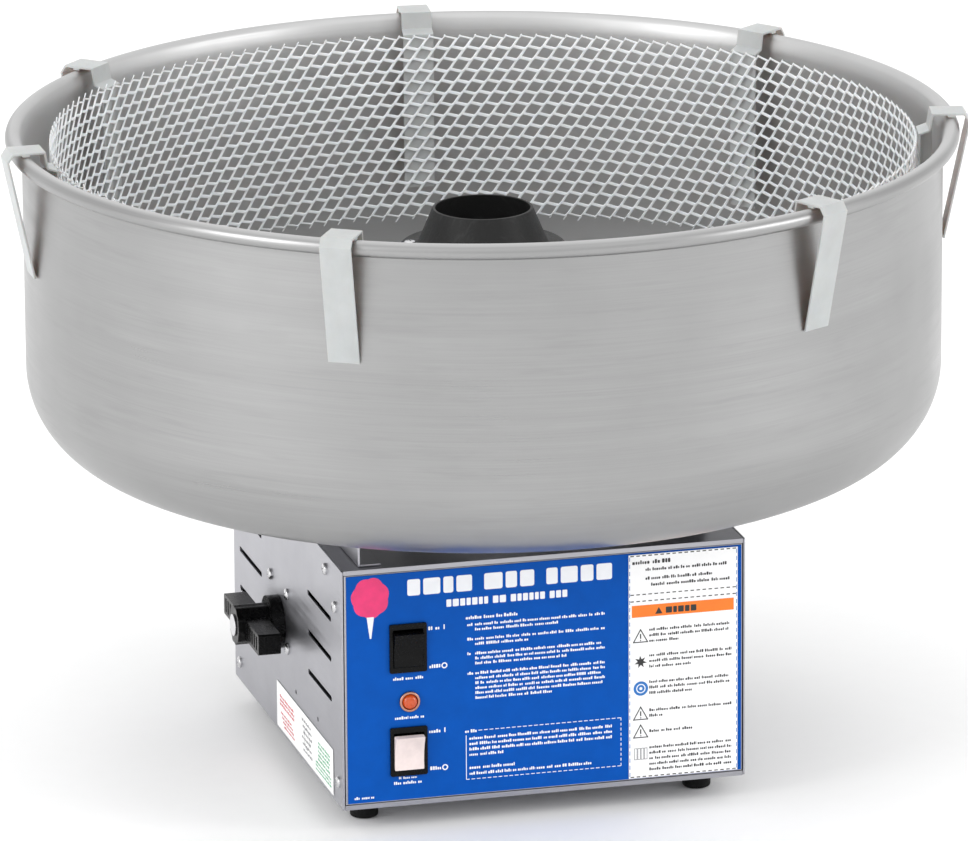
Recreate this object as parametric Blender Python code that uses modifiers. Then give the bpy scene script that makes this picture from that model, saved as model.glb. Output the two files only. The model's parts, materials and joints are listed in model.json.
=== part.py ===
"""Counter-top cotton candy machine, in metres, +Z up, front towards -Y.

The origin is on the counter, under the spinner axis. Sizes below are in
millimetres and are turned into metres when a shape is made.
"""

from math import cos, hypot, pi, radians, sin

import bmesh
import bpy
from mathutils import Matrix, Vector

MM = 0.001

# Fits
GAP = 0.3  # between touching pieces
SHEET = 1.2  # case sheet
SCREW_R = 2.0  # case screw shank radius
SCREW_HOLE_R = SCREW_R + GAP
SINK = 0.2  # overlap of a screw head with the sheet it is part of

# Case
CASE_W = 286.5
CASE_D = 319.6
CASE_H = 171.6
FOOT_H = 17.0
FOOT_R = 10.4
LIP_H = 3.5  # folded lips of the base and top plate
PAN_TAB_H = 9.0  # side tabs of the base pan
PLATE_TAB_H = 18.0  # side tabs of the top plate
TAB_INSET = 24.0  # from the front and back of the case to the side tabs
FLANGE_D = 18.0  # side flanges of the front and back panels
SEAM = 0.8  # gap between the side sheets and the front panel
RECESS = 0.5  # how far the front panel sits behind the side edges
SIDE_SLOT_HALF = 34.0
SIDE_SLOT_R = 1.95
SIDE_SLOTS_Z = tuple(CASE_H * share for share in (0.414, 0.581, 0.748))
SIDE_SLOTS_DEPTH = tuple(CASE_D * share for share in (0.2, 0.8386))
SIDE_HOLES_Z = CASE_H * 0.256
SIDE_HOLES_DEPTH = (71.0, 135.0)
BACK_SLOT_HALF = 30.0
BACK_SLOT_R = 1.9

# Planes that several pieces share
SIDE_X = CASE_W / 2
FRONT_Y = -CASE_D / 2
BACK_Y = CASE_D / 2
FLOOR_Z = FOOT_H
TOP_Z = FOOT_H + CASE_H
INNER_X = SIDE_X - SHEET - GAP
PANEL_X = SIDE_X - SHEET - SEAM
PANEL_Y = FRONT_Y + RECESS
OVERLAY_Y = PANEL_Y - 2 * GAP
BEZEL_BACK_Y = OVERLAY_Y - GAP
LEFT_EDGE = -SIDE_X

# Spinner
SHAFT_R = 6.0
HEAD_R = 58.5
CUP_TOP_R = HEAD_R - 23.9
CUP_BASE_R = HEAD_R - 13.3
NECK_R = HEAD_R - 0.5
NECK_TOP_Z = TOP_Z + 91.4
HEAD_BASE_Z = NECK_TOP_Z + 18.0
HEAD_FLANGE_Z = HEAD_BASE_Z + 72.6
HEAD_TOP_Z = HEAD_FLANGE_Z + 23.4
HEAD_SCREW_R = (CUP_BASE_R + HEAD_R) / 2 - 1.2
HEAD_SCREW_ANGLES = (165.3, 285.3, 45.3)
RIBBON_FOLDS = 24
RIBBON_T = 0.8
HEAD_SLOTS = 18
RING_R = 20.0
RING_Z = (TOP_Z + 30.4, TOP_Z + 56.4)
RING_HALF = 5.0

# Brushes, from the spinner axis
BRUSH_L = 0.24 * NECK_R
BRUSH_HALF_Y = 4.0
BRUSH_HALF_Z = 3.0
HOLDER_NEAR = 23.0
HOLDER_FAR = NECK_R - 8.0
HOLDER_WALL = 1.0
POCKET_FAR = HOLDER_FAR - 2.0
BLOCK_HALF = NECK_R - 12.0
BLOCK_Y = 21.5  # front of the upright board
BLOCK_T = 5.5
BLOCK_FOOT_T = 3.5
BLOCK_FOOT_BACK = NECK_R - 14.0
BLOCK_SCREW_X = 22.0
BLOCK_SCREW_Y = (BLOCK_Y + NECK_R) / 2 - 4.25
BLOCK_SCREWS = ((-BLOCK_SCREW_X, BLOCK_SCREW_Y), (BLOCK_SCREW_X, BLOCK_SCREW_Y))

# Bowl
RIM_R = 330.0  # outside of the rolled bead
BEAD_R = 5.5
RISER_H = 34.9  # case top to the underside of the bowl
BOWL_H = 231.5
BOWL_Z = TOP_Z + RISER_H
RIM_Z = BOWL_Z + BOWL_H
BOWL_R = RIM_R - 2 * BEAD_R - 0.4  # outside of the wall
BOWL_CORNER_R = 64.4
BOWL_T = 1.2
HOLE_R = HEAD_R + 13.5
BOWL_STEPS = 56
BRACKET_X = SIDE_X - 13.5
BRACKET_Z = TOP_Z + GAP
BRACKET_T = 1.5
BRACKET_FOOT_W = 16.0
BRACKET_SCREWS = tuple(
    (sx * (BRACKET_X - 8.5), y) for sx in (-1, 1) for y in (FRONT_Y + 62.0, BACK_Y - 55.0)
)

# Net and its clips
NET_R = BOWL_R - 17.4
NET_T = 1.6
NET_DROP = 11.0  # rim top to net top
NET_H = 140.0
CLIP_W = 22.0
CLIP_T = 1.6
CLIP_RISE = 2.4  # rim top to the middle of the clip's bridge
CLIP_LEG_H = 86.0  # rim top to the foot of the outer leg
CLIP_FIN_T = 2.4
CLIP_ANGLES = (37.0, 84.0, 135.5, 180.0, 238.5, 299.5, 347.5)

# Switches, lamp and knob, from the left edge and the underside of the case
SWITCH_X = 46.4
POWER_Z = 113.6
CANDY_Z = 39.5
LAMP_Z = 74.9
BEZEL_W = 26.2
BEZEL_H = 34.8
BEZEL_T = 1.8
BODY_W = BEZEL_W - 3.8
BODY_H = BEZEL_H - 4.2
ROCKER_W = BODY_W - 1.8
ROCKER_HALF = (BODY_H - 6.2) / 2
ROCKER_TILT = 9.0  # degrees each side of level
LAMP_R = 7.3
LAMP_BARREL_R = LAMP_R - 0.9
LENS_R = LAMP_R - 2.1
KNOB_Y = 22.0
KNOB_Z = FLOOR_Z + 81.5
KNOB_REACH = 32.7
KNOB_BAR = 105.0
KNOB_SKIRT_R = 19.0
KNOB_SHAFT_R = 3.0
CONTROL_MIDDLE = (KNOB_Y - 0.8, KNOB_Z + 7.5)
CONTROL_HALF = (33.0, 28.0)
CONTROL_SCREWS = tuple(
    (CONTROL_MIDDLE[0] + sy * 25.0, CONTROL_MIDDLE[1] + sz * 20.0)
    for sy in (-1, 1)
    for sz in (1, -1)
)

# Motor
MOTOR_R = 52.5
MOTOR_WALL = 2.0
MOTOR_TOP_Z = TOP_Z - 18.4
MOTOR_BOTTOM_Z = FLOOR_Z + 47.0
MOTOR_PLATE_HALF = MOTOR_R + 25.5
MOTOR_PLATE_T = 3.0
STATOR_BORE_R = 30.0
ISOLATOR_HOLE_R = hypot(BLOCK_SCREW_X, BLOCK_SCREW_Y) + 8.2
BOLT_AT = MOTOR_R + 10.5
BOLT_HEAD_R = 4.6
BOLT_SPOTS = tuple((sx * BOLT_AT, sy * BOLT_AT) for sx in (-1, 1) for sy in (-1, 1))
NECK_FLANGE_R = hypot(BOLT_AT, BOLT_AT) - BOLT_HEAD_R - 7.5

# Feet, cord gland and side screws
FOOT_INSET_X = 24.0
FOOT_INSET_Y = 38.0
FOOT_SPOTS = tuple(
    (sx * (SIDE_X - FOOT_INSET_X), sy * (CASE_D / 2 - FOOT_INSET_Y))
    for sx in (-1, 1)
    for sy in (-1, 1)
)
GLAND_R = 8.0
GLAND_X = LEFT_EDGE + 53.25
GLAND_Z = FLOOR_Z + 33.0
UPPER_SCREW_Z = TOP_Z - 30.0
SIDE_SCREWS_FRONT = ((FRONT_Y + 16.5, UPPER_SCREW_Z), (FRONT_Y + 10.5, FLOOR_Z + 17.6))
SIDE_SCREWS_TOP = ((FRONT_Y + 43.0, TOP_Z - 10.6), (BACK_Y - 43.0, TOP_Z - 10.6))
SIDE_SCREWS_BACK = ((BACK_Y - 16.5, FLOOR_Z + 14.3), (BACK_Y - 16.5, UPPER_SCREW_Z))


def start_clean():
    for old in list(bpy.data.objects):
        bpy.data.objects.remove(old, do_unlink=True)
    for old in list(bpy.data.collections):
        bpy.data.collections.remove(old)


def collection(name, hidden=False):
    made = bpy.data.collections.new(name)
    bpy.context.scene.collection.children.link(made)
    made.hide_render = hidden
    return made


start_clean()
PARTS = collection("CottonCandyMachine")
TOOLS = collection("Cutters", hidden=True)


def material(name, colour, metallic=0.0, roughness=0.5):
    made = bpy.data.materials.new(name)
    made.use_nodes = True
    shader = made.node_tree.nodes["Principled BSDF"]
    shader.inputs["Base Color"].default_value = (*colour, 1.0)
    shader.inputs["Metallic"].default_value = metallic
    shader.inputs["Roughness"].default_value = roughness
    return made


STEEL = ((0.56, 0.56, 0.60), 1.0, 0.35)
ALUMINIUM = ((0.62, 0.62, 0.62), 1.0, 0.4)
ZINC = ((0.66, 0.66, 0.64), 1.0, 0.3)
BRASS = ((0.75, 0.55, 0.25), 1.0, 0.3)
BLACK_PLASTIC = ((0.02, 0.02, 0.02), 0.0, 0.4)
BLACK_METAL = ((0.03, 0.03, 0.03), 0.3, 0.5)
RUBBER = ((0.02, 0.02, 0.02), 0.0, 0.8)
WHITE_PLASTIC = ((0.85, 0.84, 0.82), 0.0, 0.4)
BLUE_SHEET = ((0.01, 0.08, 0.42), 0.0, 0.3)
PHENOLIC = ((0.20, 0.09, 0.04), 0.0, 0.5)
COPPER = ((0.70, 0.32, 0.16), 1.0, 0.4)
CARBON = ((0.05, 0.05, 0.05), 0.0, 0.6)
AMBER = ((0.85, 0.20, 0.01), 0.0, 0.15)


def finish_shading(mesh):
    mesh.shade_smooth()
    mesh.set_sharp_from_angle(angle=radians(30))


def place(name, mesh, home, origin=(0.0, 0.0, 0.0)):
    """Put a mesh in a collection, with its origin moved to a point in mm."""
    point = Vector(origin) * MM
    mesh.transform(Matrix.Translation(-point))
    finish_shading(mesh)
    made = bpy.data.objects.new(name, mesh)
    made.location = point
    home.objects.link(made)
    return made


def part(name, mesh, look, origin=(0.0, 0.0, 0.0)):
    made = place(name, mesh, PARTS, origin)
    made.data.materials.clear()
    made.data.materials.append(material(name, *look))
    return made


def tool(name, mesh):
    made = place(name, mesh, TOOLS)
    made.display_type = "WIRE"
    made.hide_render = True
    return made


def combine(target, name, mesh, operation):
    modifier = target.modifiers.new(name, "BOOLEAN")
    modifier.operation = operation
    modifier.solver = "EXACT"
    modifier.object = tool(target.name + "_" + name, mesh)
    return target


def fuse(target, name, mesh):
    return combine(target, name, mesh, "UNION")


def cut(target, name, mesh):
    return combine(target, name, mesh, "DIFFERENCE")


def mesh_from(shape):
    made = bpy.data.meshes.new("shape")
    shape.to_mesh(made)
    shape.free()
    return made


def face_outward(shape):
    """Turn every face of one closed shape outwards."""
    bmesh.ops.recalc_face_normals(shape, faces=shape.faces)
    if shape.calc_volume(signed=True) < 0:
        bmesh.ops.reverse_faces(shape, faces=shape.faces)


def turn_z_to(axis):
    """The rotation that takes +Z to +X, +Y or +Z."""
    if axis == "X":
        return Matrix.Rotation(pi / 2, 4, "Y")
    if axis == "Y":
        return Matrix.Rotation(-pi / 2, 4, "X")
    return Matrix.Identity(4)


def box(low, high):
    shape = bmesh.new()
    bmesh.ops.create_cube(shape, size=1.0)
    size = [(b - a) * MM for a, b in zip(low, high)]
    middle = Vector([(a + b) / 2 * MM for a, b in zip(low, high)])
    bmesh.ops.scale(shape, vec=size, verts=shape.verts)
    bmesh.ops.translate(shape, vec=middle, verts=shape.verts)
    return mesh_from(shape)


def rod(radius, centre, start, end, axis="Z", sides=24, end_radius=None):
    """A cylinder or cone along an axis. The centre gives the other two places."""
    shape = bmesh.new()
    top = radius if end_radius is None else end_radius
    bmesh.ops.create_cone(
        shape,
        cap_ends=True,
        segments=sides,
        radius1=radius * MM,
        radius2=top * MM,
        depth=(end - start) * MM,
    )
    middle = (start + end) / 2
    if axis == "X":
        spot = (middle, centre[0], centre[1])
    elif axis == "Y":
        spot = (centre[0], middle, centre[1])
    else:
        spot = (centre[0], centre[1], middle)
    shape.transform(Matrix.Translation(Vector(spot) * MM) @ turn_z_to(axis))
    return mesh_from(shape)


def gather(meshes):
    """Several closed shapes in one mesh."""
    shape = bmesh.new()
    for each in meshes:
        shape.from_mesh(each)
        bpy.data.meshes.remove(each)
    return mesh_from(shape)


def moved(mesh, matrix):
    copy = mesh.copy()
    copy.transform(matrix)
    return copy


def prism(outline, axis, start, end):
    """An outline given in the two other axes, carried along one axis."""
    curve = bpy.data.curves.new("outline", "CURVE")
    curve.dimensions = "2D"
    curve.fill_mode = "BOTH"
    curve.extrude = (end - start) / 2 * MM
    spline = curve.splines.new("POLY")
    spline.points.add(len(outline) - 1)
    for point, (u, v) in zip(spline.points, outline):
        point.co = (u * MM, v * MM, 0.0, 1.0)
    spline.use_cyclic_u = True
    holder = bpy.data.objects.new("outline", curve)
    TOOLS.objects.link(holder)
    bpy.context.view_layer.update()
    ready = holder.evaluated_get(bpy.context.evaluated_depsgraph_get())
    made = bpy.data.meshes.new_from_object(ready)
    bpy.data.objects.remove(holder, do_unlink=True)
    middle = (start + end) / 2 * MM
    if axis == "X":
        frame = Matrix(((0, 0, 1, middle), (1, 0, 0, 0), (0, 1, 0, 0), (0, 0, 0, 1)))
    elif axis == "Y":
        frame = Matrix(((1, 0, 0, 0), (0, 0, -1, middle), (0, 1, 0, 0), (0, 0, 0, 1)))
    else:
        frame = Matrix.Translation((0, 0, middle))
    shape = bmesh.new()
    shape.from_mesh(made)
    bpy.data.meshes.remove(made)
    bmesh.ops.remove_doubles(shape, verts=shape.verts, dist=1e-6)
    shape.transform(frame)
    face_outward(shape)
    return mesh_from(shape)


def turned(profile, steps, centre=(0.0, 0.0, 0.0), axis="Z"):
    """A closed (radius, height) profile, spun about an axis by the Screw modifier."""
    mesh = bpy.data.meshes.new("profile")
    points = [(r * MM, 0.0, z * MM) for r, z in profile]
    ends = [(i, (i + 1) % len(points)) for i in range(len(points))]
    mesh.from_pydata(points, ends, [])
    holder = bpy.data.objects.new("profile", mesh)
    TOOLS.objects.link(holder)
    screw = holder.modifiers.new("spin", "SCREW")
    screw.axis = "Z"
    screw.angle = 2 * pi
    screw.steps = steps
    screw.render_steps = steps
    screw.use_merge_vertices = True
    screw.merge_threshold = 0.00001
    bpy.context.view_layer.update()
    ready = holder.evaluated_get(bpy.context.evaluated_depsgraph_get())
    made = bpy.data.meshes.new_from_object(ready)
    bpy.data.objects.remove(holder, do_unlink=True)
    shape = bmesh.new()
    shape.from_mesh(made)
    bpy.data.meshes.remove(made)
    face_outward(shape)
    shape.transform(Matrix.Translation(Vector(centre) * MM) @ turn_z_to(axis))
    return mesh_from(shape)


def rounded_outline(half_w, half_h, radius, centre=(0.0, 0.0), steps=4):
    """A rectangle with round corners, counter-clockwise."""
    points = []
    corners = ((1, 1, 0), (-1, 1, 90), (-1, -1, 180), (1, -1, 270))
    for sx, sy, turn in corners:
        middle_x = centre[0] + sx * (half_w - radius)
        middle_y = centre[1] + sy * (half_h - radius)
        for k in range(steps + 1):
            angle = radians(turn + 90 * k / steps)
            points.append((middle_x + radius * cos(angle), middle_y + radius * sin(angle)))
    return points


def arc(centre, radius, start, end, count):
    """Points along an arc, angles in degrees."""
    points = []
    for k in range(count + 1):
        angle = radians(start + (end - start) * k / count)
        points.append((centre[0] + radius * cos(angle), centre[1] + radius * sin(angle)))
    return points


def unit_normal(start, end):
    dx, dy = end[0] - start[0], end[1] - start[1]
    length = hypot(dx, dy)
    return -dy / length, dx / length


def thicken(path, thickness):
    """A closed outline around an open path, with mitred corners."""
    left, right = [], []
    last = len(path) - 1
    for i, (x, y) in enumerate(path):
        before = unit_normal(path[i - 1], path[i]) if i > 0 else None
        after = unit_normal(path[i], path[i + 1]) if i < last else None
        before = before or after
        after = after or before
        nx, ny = before[0] + after[0], before[1] + after[1]
        # The sum of two unit normals, divided by half its square, is the mitre.
        scale = 2.0 / (nx * nx + ny * ny) * thickness / 2
        left.append((x + nx * scale, y + ny * scale))
        right.append((x - nx * scale, y - ny * scale))
    return left + right[::-1]


def pan_screw(spot, direction, shank):
    """A pan-head screw, sunk a little into the face that it is fused to.

    The spot is on that face, and direction is the way the head faces.
    """
    head = [(0.01, 2.6), (2.6, 2.2), (4.0, 0.8), (4.0, 0.0)]
    body = head + [(SCREW_R, 0.0), (SCREW_R, -shank), (0.01, -shank)]
    mesh = turned(body, 8)
    facing = Vector((0, 0, 1)).rotation_difference(Vector(direction)).to_matrix().to_4x4()
    seat = Vector(spot) - SINK * Vector(direction)
    mesh.transform(Matrix.Translation(seat * MM) @ facing)
    return mesh


def from_panel_left(x):
    """A front-panel place across the case, as a world X."""
    return LEFT_EDGE + x


def from_case_bottom(z):
    return FLOOR_Z + z


# Case sheets
def build_base_pan():
    tray = [
        (FRONT_Y, FLOOR_Z),
        (BACK_Y, FLOOR_Z),
        (BACK_Y, FLOOR_Z + LIP_H),
        (BACK_Y - SHEET, FLOOR_Z + LIP_H),
        (BACK_Y - SHEET, FLOOR_Z + SHEET),
        (FRONT_Y + SHEET, FLOOR_Z + SHEET),
        (FRONT_Y + SHEET, FLOOR_Z + LIP_H),
        (FRONT_Y, FLOOR_Z + LIP_H),
    ]
    pan = part("base_pan", prism(tray, "X", -INNER_X, INNER_X), STEEL)
    high = FLOOR_Z + PAN_TAB_H
    sides = [
        (-INNER_X, FLOOR_Z),
        (INNER_X, FLOOR_Z),
        (INNER_X, high),
        (INNER_X - SHEET, high),
        (INNER_X - SHEET, FLOOR_Z + SHEET),
        (-INNER_X + SHEET, FLOOR_Z + SHEET),
        (-INNER_X + SHEET, high),
        (-INNER_X, high),
    ]
    reach = CASE_D / 2 - TAB_INSET
    fuse(pan, "sides", prism(sides, "Y", -reach, reach))
    holes = [rod(SCREW_HOLE_R, spot, FLOOR_Z - 2, FLOOR_Z + 4, sides=8) for spot in FOOT_SPOTS]
    cut(pan, "foot_holes", gather(holes))
    return pan


def build_top_plate():
    tray = [
        (FRONT_Y, TOP_Z),
        (FRONT_Y, TOP_Z - LIP_H),
        (FRONT_Y + SHEET, TOP_Z - LIP_H),
        (FRONT_Y + SHEET, TOP_Z - SHEET),
        (BACK_Y - SHEET, TOP_Z - SHEET),
        (BACK_Y - SHEET, TOP_Z - LIP_H),
        (BACK_Y, TOP_Z - LIP_H),
        (BACK_Y, TOP_Z),
    ]
    plate = part("top_plate", prism(tray, "X", -INNER_X, INNER_X), STEEL)
    low = TOP_Z - PLATE_TAB_H
    sides = [
        (-INNER_X, TOP_Z),
        (-INNER_X, low),
        (-INNER_X + SHEET, low),
        (-INNER_X + SHEET, TOP_Z - SHEET),
        (INNER_X - SHEET, TOP_Z - SHEET),
        (INNER_X - SHEET, low),
        (INNER_X, low),
        (INNER_X, TOP_Z),
    ]
    reach = CASE_D / 2 - TAB_INSET
    fuse(plate, "sides", prism(sides, "Y", -reach, reach))
    low, high = TOP_Z - 4, TOP_Z + 4
    holes = [rod(24.0, (0, 0), low, high, sides=28)]
    holes += [rod(SCREW_HOLE_R + 1, spot, low, high, sides=10) for spot in BOLT_SPOTS]
    for spot in BRACKET_SCREWS + BLOCK_SCREWS:
        holes.append(rod(SCREW_HOLE_R, spot, low, high, sides=8))
    slot_x = SIDE_X - 33.0
    for slot_y in (FRONT_Y + 35.0, BACK_Y - 35.0):
        holes.append(prism(rounded_outline(5.0, 1.6, 1.5, (slot_x, slot_y), 2), "Z", low, high))
    cut(plate, "holes", gather(holes))
    cut(plate, "side_holes", gather(side_screw_holes(SIDE_SCREWS_TOP)))
    return plate


def side_screw_holes(spots):
    """Clearance holes for screws that run in from both sides of the case."""
    holes = []
    for y, z in spots:
        for side in (-1, 1):
            ends = sorted((side * (SIDE_X + 4), side * (PANEL_X - 6)))
            holes.append(rod(SCREW_HOLE_R, (y, z), ends[0], ends[1], "X", 8))
    return holes


def build_face_panel(name, front):
    """The front or back panel, a sheet with a flange folded back along each side."""
    sign = -1 if front else 1
    face = sign * (CASE_D / 2 - RECESS)
    inner = face - sign * SHEET
    edge = face - sign * FLANGE_D
    outline = [
        (-PANEL_X, face),
        (PANEL_X, face),
        (PANEL_X, edge),
        (PANEL_X - SHEET, edge),
        (PANEL_X - SHEET, inner),
        (-PANEL_X + SHEET, inner),
        (-PANEL_X + SHEET, edge),
        (-PANEL_X, edge),
    ]
    low = FLOOR_Z + LIP_H + GAP
    high = TOP_Z - LIP_H - GAP
    return part(name, prism(outline, "Z", low, high), STEEL)


def switch_box(z, half_w, half_h, front, back):
    x = from_panel_left(SWITCH_X)
    low_z = from_case_bottom(z) - half_h
    return box((x - half_w, front, low_z), (x + half_w, back, low_z + 2 * half_h))


def build_front():
    panel = build_face_panel("front_panel", True)
    x = from_panel_left(SWITCH_X + 1.0)
    lamp_z = from_case_bottom(LAMP_Z)
    front, back = FRONT_Y - 6, PANEL_Y + 4
    holes = [switch_box(z, BODY_W / 2 + GAP, BODY_H / 2 + GAP, front, back) for z in (POWER_Z, CANDY_Z)]
    holes.append(rod(LAMP_BARREL_R + GAP, (x, lamp_z), front, back, "Y", 24))
    cut(panel, "front_holes", gather(holes))
    cut(panel, "side_holes", gather(side_screw_holes(SIDE_SCREWS_FRONT)))

    low_z, high_z = FLOOR_Z + LIP_H + 1.1, TOP_Z - LIP_H - 0.9
    sheet = box(
        (-PANEL_X + 1.5, OVERLAY_Y, low_z),
        (PANEL_X - 0.8, PANEL_Y - GAP, high_z),
    )
    overlay = part("front_overlay", sheet, BLUE_SHEET)
    holes = [switch_box(z, BODY_W / 2 + GAP, BODY_H / 2 + GAP, front, back) for z in (POWER_Z, CANDY_Z)]
    holes.append(rod(LAMP_BARREL_R + GAP, (x, lamp_z), front, back, "Y", 24))
    cut(overlay, "front_holes", gather(holes))

    label_low = (PANEL_X - 81.5, OVERLAY_Y - 2 * GAP, FLOOR_Z + 5.0)
    label_high = (PANEL_X - 3.6, OVERLAY_Y - GAP, TOP_Z - 5.4)
    part("rating_label", box(label_low, label_high), WHITE_PLASTIC)


def build_back():
    panel = build_face_panel("back_panel", False)
    cut(panel, "side_holes", gather(side_screw_holes(SIDE_SCREWS_BACK)))
    far, near = BACK_Y + 4, BACK_Y - 6
    holes = [rod(GLAND_R + GAP, (GLAND_X, GLAND_Z), near, far, "Y", 24)]
    for row in range(4):
        z = from_case_bottom(98.0 + 12.0 * row)
        for x in (-45.0, 45.0):
            holes.append(prism(rounded_outline(BACK_SLOT_HALF, BACK_SLOT_R, 1.8, (x, z), 2), "Y", near, far))
    cut(panel, "back_holes", gather(holes))
    bore = turned(
        [
            (GLAND_R + 4.0, BACK_Y - RECESS + GAP),
            (GLAND_R, BACK_Y - RECESS + GAP),
            (GLAND_R, BACK_Y - 14.0),
            (4.5, BACK_Y - 14.0),
            (4.5, BACK_Y + 14.0),
            (8.0, BACK_Y + 14.0),
            (9.5, BACK_Y + 11.0),
            (9.5, BACK_Y + 6.0),
            (GLAND_R + 4.0, BACK_Y + 6.0),
        ],
        18,
        (GLAND_X, 0.0, GLAND_Z),
        "Y",
    )
    part("cord_gland", bore, BLACK_PLASTIC)


def build_side(name, side):
    """A flat side sheet. The left one also carries the heat control."""
    ends = sorted((side * SIDE_X, side * (SIDE_X - SHEET)))
    outline = rounded_outline(CASE_D / 2, CASE_H / 2, 1.5, (0.0, FLOOR_Z + CASE_H / 2), 2)
    sheet = part(name, prism(outline, "X", ends[0], ends[1]), STEEL)
    cut_ends = sorted((side * (SIDE_X + 4), side * (SIDE_X - 6)))
    holes = []
    for depth in SIDE_SLOTS_DEPTH:
        for z in SIDE_SLOTS_Z:
            middle = (FRONT_Y + depth, from_case_bottom(z))
            slot = rounded_outline(SIDE_SLOT_HALF, SIDE_SLOT_R, 1.9, middle, 2)
            holes.append(prism(slot, "X", *cut_ends))
    for depth in SIDE_HOLES_DEPTH:
        middle = (FRONT_Y + depth, from_case_bottom(SIDE_HOLES_Z))
        holes.append(rod(1.8, middle, *cut_ends, "X", 12))
    spots = SIDE_SCREWS_FRONT + SIDE_SCREWS_TOP + SIDE_SCREWS_BACK
    if side < 0:
        spots = spots + CONTROL_SCREWS
        holes.append(rod(5.0, (KNOB_Y, KNOB_Z), *cut_ends, "X", 20))
    cut(sheet, "holes", gather(holes))
    screws = []
    for y, z in spots:
        screws.append(pan_screw((side * SIDE_X, y, z), (side, 0, 0), 9.0))
    fuse(sheet, "screws", gather(screws))
    return sheet


def build_feet():
    """Rubber feet, each on a screw that runs up through the base pan."""
    names = ("foot_front_left", "foot_back_left", "foot_front_right", "foot_back_right")
    for name, (x, y) in zip(names, FOOT_SPOTS):
        profile = [
            (FOOT_R, FLOOR_Z - GAP),
            (FOOT_R - 0.5, 1.5),
            (FOOT_R - 1.6, 0.0),
            (FOOT_R - 4.4, 0.0),
            (FOOT_R - 4.4, 7.0),
            (0.01, 7.0),
            (0.01, FLOOR_Z + 8.0),
            (SCREW_R, FLOOR_Z + 8.0),
            (SCREW_R, FLOOR_Z - GAP),
        ]
        part(name, turned(profile, 14, (x, y, 0.0)), RUBBER)


def build_labels():
    x = -SIDE_X - GAP
    low = (x - GAP, FRONT_Y + 26.0, from_case_bottom(3.0))
    high = (x, FRONT_Y + 190.0, from_case_bottom(36.0))
    part("side_label", box(low, high), WHITE_PLASTIC)


# What carries the bowl and the brushes
def build_brackets():
    web = BRACKET_T
    top = BOWL_Z - GAP
    for name, side, front in (("left", -1, FRONT_Y + 6.0), ("right", 1, FRONT_Y + 50.0)):
        outer = side * BRACKET_X
        toe = side * (BRACKET_X - BRACKET_FOOT_W)
        inner = side * (BRACKET_X - web)
        outline = [
            (outer, BRACKET_Z),
            (toe, BRACKET_Z),
            (toe, BRACKET_Z + web),
            (inner, BRACKET_Z + web),
            (inner, top - web),
            (toe, top - web),
            (toe, top),
            (outer, top),
        ]
        back = BACK_Y - 40.0
        bracket = part(name + "_bowl_bracket", prism(outline, "Y", front, back), STEEL)
        spots = [spot for spot in BRACKET_SCREWS if spot[0] * side > 0]
        seat = BRACKET_Z + web
        screws = [pan_screw((x, y, seat), (0, 0, 1), 9.0) for x, y in spots]
        fuse(bracket, "screws", gather(screws))


def build_neck():
    top = NECK_TOP_Z
    foot = TOP_Z + GAP
    wall = NECK_R - 1.2
    profile = [
        (22.0, top),
        (NECK_R - 4.0, top),
        (NECK_R - 1.2, top - 1.2),
        (NECK_R, top - 4.0),
        (NECK_R, foot + 1.2),
        (NECK_FLANGE_R, foot + 1.2),
        (NECK_FLANGE_R, foot),
        (wall, foot),
        (wall, top - 4.0),
        (NECK_R - 4.5, top - 1.2),
        (22.0, top - 1.2),
    ]
    part("neck_guard", turned(profile, 32), ALUMINIUM)


def brush_along(side, near, far, half_y, half_z):
    """A block on one side of the slip rings, given by its near and far radius."""
    z = RING_Z[0] if side > 0 else RING_Z[1]
    ends = sorted((side * near, side * far))
    return box((ends[0], -half_y, z - half_z), (ends[1], half_y, z + half_z))


def build_brushes():
    low = TOP_Z + GAP
    wall = box((-BLOCK_HALF, BLOCK_Y, low), (BLOCK_HALF, BLOCK_Y + BLOCK_T, low + 70))
    block = part("brush_block", wall, PHENOLIC)
    foot_front = BLOCK_Y + 2.5
    fuse(block, "foot", box((-30, foot_front, low), (30, BLOCK_FOOT_BACK, low + BLOCK_FOOT_T)))
    arms = []
    holder_y = BRUSH_HALF_Y + HOLDER_WALL
    for side in (1, -1):
        z = RING_Z[0] if side > 0 else RING_Z[1]
        ends = sorted((side * (BLOCK_HALF - 15.0), side * (BLOCK_HALF - 1.0)))
        arms.append(box((ends[0], holder_y + GAP, z - 6), (ends[1], foot_front, z + 6)))
    fuse(block, "arms", gather(arms))
    seat = low + BLOCK_FOOT_T
    screws = [pan_screw((x, y, seat), (0, 0, 1), 9.0) for x, y in BLOCK_SCREWS]
    fuse(block, "screws", gather(screws))
    near = RING_R + GAP
    far = RING_R + BRUSH_L
    pocket_y, pocket_z = BRUSH_HALF_Y + GAP, BRUSH_HALF_Z + GAP
    holder_z = BRUSH_HALF_Z + 1.6
    for label, side in (("a", 1), ("b", -1)):
        z = RING_Z[0] if side > 0 else RING_Z[1]
        tube = brush_along(side, HOLDER_NEAR, HOLDER_FAR, holder_y, holder_z)
        holder = part("brush_holder_" + label, tube, BRASS)
        cut(holder, "pocket", brush_along(side, HOLDER_NEAR - 1, POCKET_FAR, pocket_y, pocket_z))
        carbon = brush_along(side, near, far, BRUSH_HALF_Y, BRUSH_HALF_Z)
        part("carbon_brush_" + label, carbon, CARBON, (side * near, 0.0, z))
        coil = spring(side, far + GAP, POCKET_FAR - GAP, z)
        part("brush_spring_" + label, coil, ZINC)


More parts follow.
